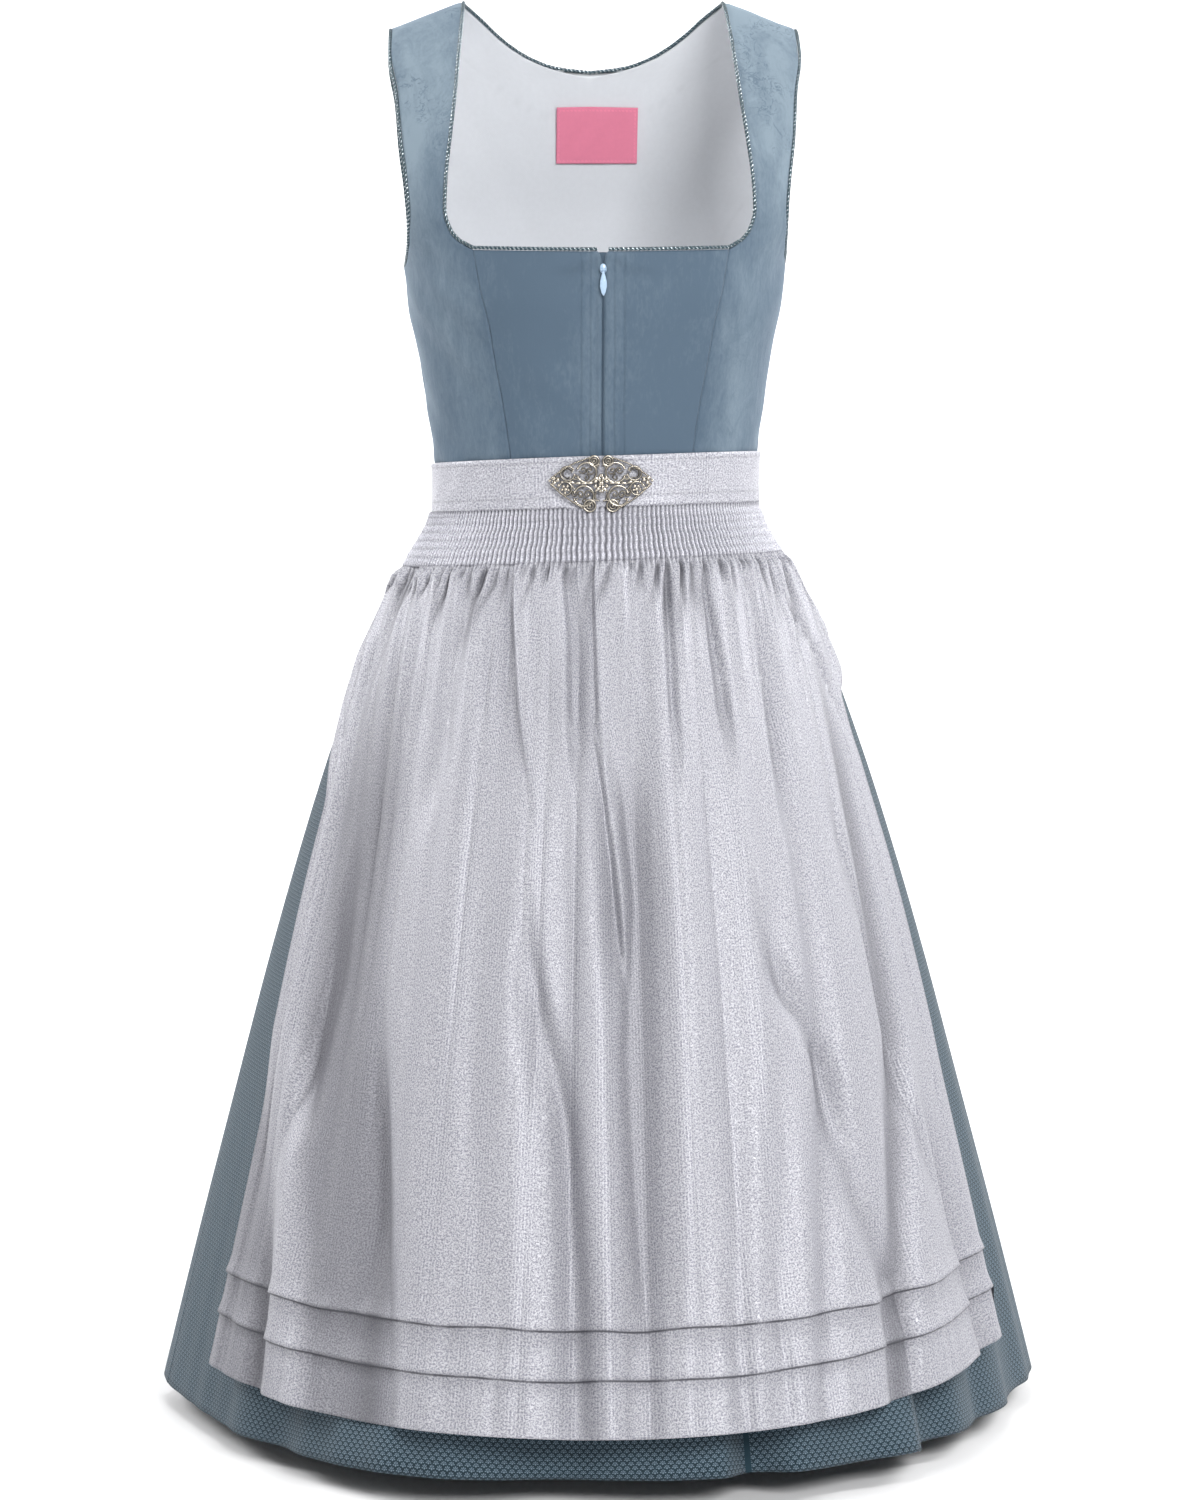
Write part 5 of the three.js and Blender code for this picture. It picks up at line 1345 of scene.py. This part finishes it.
class DirndlSettings(bpy.types.PropertyGroup):
    """Sizes and colours of the dress's finish."""

    zip_gap: size("Zip gap", 0.0005, 0.0003, 0.004, "Half the gap between the velvet edges at the zip")
    piping_radius: size("Piping radius", 0.0013, 0.0008, 0.002, "Radius of the glitter piping")
    twist: size("Piping twist", 0.0032, 0.001, 0.008, "Length of one turn of the piping's twist")
    smock_row: size("Smocking rows", 0.0061, 0.003, 0.012, "Distance between the stitch rows")
    motif: size("Print motif", 0.0056, 0.003, 0.02, "Width of the print's repeat")
    stripe: size("Satin stripe", 0.034, 0.01, 0.1, "Width of the satin's stripe repeat")
    softness: bpy.props.FloatProperty(name="Softness", description="Share of the cloth's small creases",
                                      default=1.0, min=0, max=1.5, subtype="FACTOR", unit="NONE")
    velvet: colour("Velvet", (0.081, 0.121, 0.168), "Velvet seen straight on")
    # the lighter velvet colour that paints light where it falls: strap tops and panels turned to the
    # side
    velvet_painted_light: colour("Pale velvet", (0.205, 0.265, 0.315), "Velvet where light is painted")
    velvet_rim: colour("Velvet rim", (0.68, 0.78, 0.88), "Tint of the velvet's sheen")
    lining: colour("Lining", (0.66, 0.68, 0.715), "Lining cotton")
    label: colour("Label", (0.76, 0.23, 0.34), "Neck label")
    ground: colour("Print ground", (0.014, 0.031, 0.043), "Ground of the printed cotton")
    motif_colour: colour("Print fans", (0.19, 0.26, 0.325), "Fans of the printed cotton")
    satin: colour("Satin", (0.215, 0.215, 0.257), "Ground of the satin")
    satin_bright: colour("Satin bright", (0.545, 0.545, 0.58), "Bright weave of the satin")
    piping: colour("Piping", (0.012, 0.04, 0.055), "Ground of the piping")
    glitter: colour("Glitter", (0.58, 0.64, 0.67), "Glitter thread")
    silver: colour("Silver", (0.60, 0.55, 0.47), "Clasp, where it is bright")
    # the dark colour of the clasp's back and hollows: partly blackened silver, partly painted shade
    tarnish_and_shade_colour: colour("Tarnish", (0.018, 0.014, 0.010), "Clasp, in its hollows")
    enamel: colour("Enamel", (0.38, 0.52, 0.68), "Zip slider and pull")


SIDES = (("left", -1), ("right", 1))


class PieceOperator:
    """Shared body of the operators: runs build, whose errors are raised."""

    bl_options = {"REGISTER", "UNDO"}

    def execute(self, context):
        self.build(context.scene.dirndl)
        return {"FINISHED"}


class DIRNDL_OT_bodice(PieceOperator, bpy.types.Operator):
    """Builds the velvet panels of the bodice"""

    bl_idname = "dirndl.bodice"
    bl_label = "Bodice"

    def build(self, p):
        for word, side in SIDES:
            obj = side_front(p, side)
            finish_piece(obj, ("velvet", "lining"), [f"bodice_front_side_{word}"])
            obj = centre_front(p, side)
            finish_piece(obj, ("velvet", "lining"), [f"bodice_front_centre_{word}"])
            obj = side_back(p, side)
            finish_piece(obj, ("velvet", "lining"), [f"bodice_back_side_{word}"])
        obj = finish_piece(centre_back(p), ("velvet", "lining"), ["bodice_back_centre"])


class DIRNDL_OT_lining(PieceOperator, bpy.types.Operator):
    """Builds the back lining and the bare neck label"""

    bl_idname = "dirndl.lining"
    bl_label = "Lining and label"

    def build(self, p):
        obj = finish_piece(back_lining(p), ("lining",), ["lining_back"])
        obj = finish_piece(label_piece(), ("label",), ["neck_label"])


class DIRNDL_OT_piping(PieceOperator, bpy.types.Operator):
    """Builds the twisted glitter piping of neck and armholes"""

    bl_idname = "dirndl.piping"
    bl_label = "Piping"

    def build(self, p):
        radius, twist = p.piping_radius / MM, p.twist / MM
        for word, side in SIDES:
            obj = piping(f"armhole_piping_{word}", armhole_path(side, radius), radius, twist, True)
            finish_piece(obj, ("piping",), [f"piping_armhole_{word}"])
        obj = piping("neck_piping", neck_path(radius), radius, twist, False)
        finish_piece(obj, ("piping",), ["piping_neck"])


class DIRNDL_OT_zip(PieceOperator, bpy.types.Operator):
    """Builds the zip: tape with its coil, slider and pull tab"""

    bl_idname = "dirndl.zip"
    bl_label = "Zip"

    def build(self, p):
        points, faces = zip_tape()
        obj = new_object("tape_and_coil", points, faces, points[:, [0, 2]] * MM)
        finish_piece(obj, ("tape",), ["zip_tape"])
        points, faces = slider()
        obj = new_object("slider", points + ZIP_SEAT, faces)
        finish_piece(obj, ("enamel",), ["zip_slider"])
        points, faces = pull_tab()
        obj = new_object("pull", points + ZIP_SEAT, faces)
        finish_piece(obj, ("enamel",), ["zip_pull"], "pull_tab")


class DIRNDL_OT_skirt(PieceOperator, bpy.types.Operator):
    """Builds the front and the back width of the skirt"""

    bl_idname = "dirndl.skirt"
    bl_label = "Skirt"

    def build(self, p):
        obj = skirt_piece(p, "skirt_front_width", -90, 90, 400)
        finish_piece(obj, ("print", "wrong_side"), ["skirt_front"])
        obj = skirt_piece(p, "skirt_back_width", 90, 270, 520)
        finish_piece(obj, ("print", "wrong_side"), ["skirt_back"])


class DIRNDL_OT_apron(PieceOperator, bpy.types.Operator):
    """Builds the smocked head and the panel of the apron"""

    bl_idname = "dirndl.apron"
    bl_label = "Apron"

    def build(self, p):
        obj = finish_piece(smocked_head(p), ("head",), ["apron_smocking"])
        obj = finish_piece(apron_skin(p), ("satin",), ["apron_panel"])


class DIRNDL_OT_band(PieceOperator, bpy.types.Operator):
    """Builds the waistband in two halves"""

    bl_idname = "dirndl.band"
    bl_label = "Waistband"

    def build(self, p):
        for word, side in SIDES:
            obj = finish_piece(belt_half(p, side), ("band",), [f"apron_belt_{word}"])


class DIRNDL_OT_clasp(PieceOperator, bpy.types.Operator):
    """Builds the two filigree halves of the clasp"""

    bl_idname = "dirndl.clasp"
    bl_label = "Clasp"

    def build(self, p):
        for word, side in SIDES:
            finish_piece(clasp_half(side), ("silver",), [f"clasp_{word}"])


def floor_curve():
    """The floor and the wall behind as one curve, in millimetres: level, a quarter round, upright."""
    floor, front, side, bend, wall, top = -1052, -7000, 7000, 2200, 5400, 5448
    quarter = np.linspace(0, np.pi / 2, 25)
    y = np.r_[front, wall - bend + bend * np.sin(quarter), wall]
    z = floor + np.r_[0, bend * (1 - np.cos(quarter)), top - floor]
    x = np.linspace(-side, side, 5)
    points = np.stack(np.broadcast_arrays(x, y[:, None], z[:, None]), -1)
    index = np.arange(points[..., 0].size).reshape(-1, len(x))
    return new_object("floor", points.reshape(-1, 3), [grid_faces(index, flip=True)])


FLOOR_COLOUR, SKY_STRENGTH = (0.92, 0.92, 0.925), 0.18
DRESS_MIDDLE, WALL_MIDDLE = (0, 0, -0.5), (0, 5.4, 0.9)
LAMPS = (  # name, place, watts, size, what it is aimed at
    ("key", (1.1, -3.35, 1.15), 120.0, 1.5, DRESS_MIDDLE),
    ("fill", (-1.2, -3.5, 0.4), 14.0, 2.4, DRESS_MIDDLE),
    ("top", (-0.3, -0.5, 2.5), 34.0, 1.6, DRESS_MIDDLE),
    ("wall_left", (-3.4, 1.2, 2.0), 330.0, 2.4, WALL_MIDDLE),
    ("wall_right", (3.4, 1.2, 2.0), 330.0, 2.4, WALL_MIDDLE),
)
# metres and degrees; scale is metres a pixel at the target, in a picture of this height
CAMERA = {"target": (0.0023, 0.0, -0.552), "distance": 3.0, "azimuth": -3.0, "elevation": 3.6,
          "roll": -0.3, "scale": 0.00076, "picture": 1500, "sensor": 36.0}


class DIRNDL_OT_stage(PieceOperator, bpy.types.Operator):
    """Sets the floor, the soft lights, the plain world and the camera"""

    bl_idname = "dirndl.stage"
    bl_label = "Stage"

    def build(self, p):
        scene = bpy.context.scene
        floor = floor_curve()
        made, graph, shader = new_material("Floor")
        graph.feed(shader, {"Base Color": FLOOR_COLOUR, "Roughness": 0.9})
        floor.data.materials.append(made)
        scene.world = bpy.data.worlds.new("Studio")
        scene.world.use_nodes = True
        sky = scene.world.node_tree.nodes["Background"].inputs
        sky["Color"].default_value = (1, 1, 1, 1)
        sky["Strength"].default_value = SKY_STRENGTH
        scene.view_settings.view_transform = "Standard"
        for name, place, power, width, target in LAMPS:
            lamp = bpy.data.lights.new(name, "AREA")
            lamp.energy, lamp.size = power, width
            obj = bpy.data.objects.new(name, lamp)
            scene.collection.objects.link(obj)
            obj.location = place
            aim = Vector(target) - Vector(place)
            obj.rotation_euler = aim.to_track_quat("-Z", "Y").to_euler()
        set_camera(scene)


def set_camera(scene):
    """Camera 3 m away, 3 degrees to the left and 3.6 degrees above, rolled by -0.3 degrees."""
    azimuth, elevation, roll = (math.radians(CAMERA[key]) for key in ("azimuth", "elevation", "roll"))
    level = math.cos(elevation)
    back = Vector((math.sin(azimuth) * level, -math.cos(azimuth) * level, math.sin(elevation)))
    right = (-back).cross(Vector((0, 0, 1))).normalized()
    up = right.cross(-back)
    c, s = math.cos(roll), math.sin(roll)
    data = bpy.data.cameras.new("camera")
    data.sensor_fit = "VERTICAL"
    data.sensor_height = data.sensor_width = CAMERA["sensor"]
    data.lens = CAMERA["sensor"] * (CAMERA["distance"] / CAMERA["scale"]) / CAMERA["picture"]
    camera = bpy.data.objects.new("camera", data)
    matrix = Matrix((right * c + up * s, up * c - right * s, back)).transposed().to_4x4()
    matrix.translation = Vector(CAMERA["target"]) + back * CAMERA["distance"]
    camera.matrix_world = matrix
    scene.collection.objects.link(camera)
    scene.camera = camera


PIECES = (DIRNDL_OT_bodice, DIRNDL_OT_lining, DIRNDL_OT_piping, DIRNDL_OT_zip, DIRNDL_OT_skirt,
          DIRNDL_OT_apron, DIRNDL_OT_band, DIRNDL_OT_clasp, DIRNDL_OT_stage)


class DIRNDL_PT_panel(bpy.types.Panel):
    """Sidebar panel with the sizes, the colours and a button for each group of pieces"""

    bl_label = "Dirndl"
    bl_idname = "DIRNDL_PT_panel"
    bl_space_type = "VIEW_3D"
    bl_region_type = "UI"
    bl_category = "Dirndl"

    def draw(self, context):
        settings = context.scene.dirndl
        for name in DirndlSettings.__annotations__:
            self.layout.prop(settings, name)
        for operator in PIECES:
            self.layout.operator(operator.bl_idname)


def register():
    """Registers the add-on."""
    for item in (DirndlSettings, *PIECES, DIRNDL_PT_panel):
        bpy.utils.register_class(item)
    bpy.types.Scene.dirndl = bpy.props.PointerProperty(type=DirndlSettings)


def unregister():
    """Unregisters the add-on."""
    del bpy.types.Scene.dirndl
    for item in reversed((DirndlSettings, *PIECES, DIRNDL_PT_panel)):
        bpy.utils.unregister_class(item)


def main():
    """Builds every piece and the stage in order."""
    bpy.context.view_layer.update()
    register()
    for operator in PIECES:
        group_name, word = operator.bl_idname.split(".")
        getattr(getattr(bpy.ops, group_name), word)()


if __name__ == "__main__":
    main()
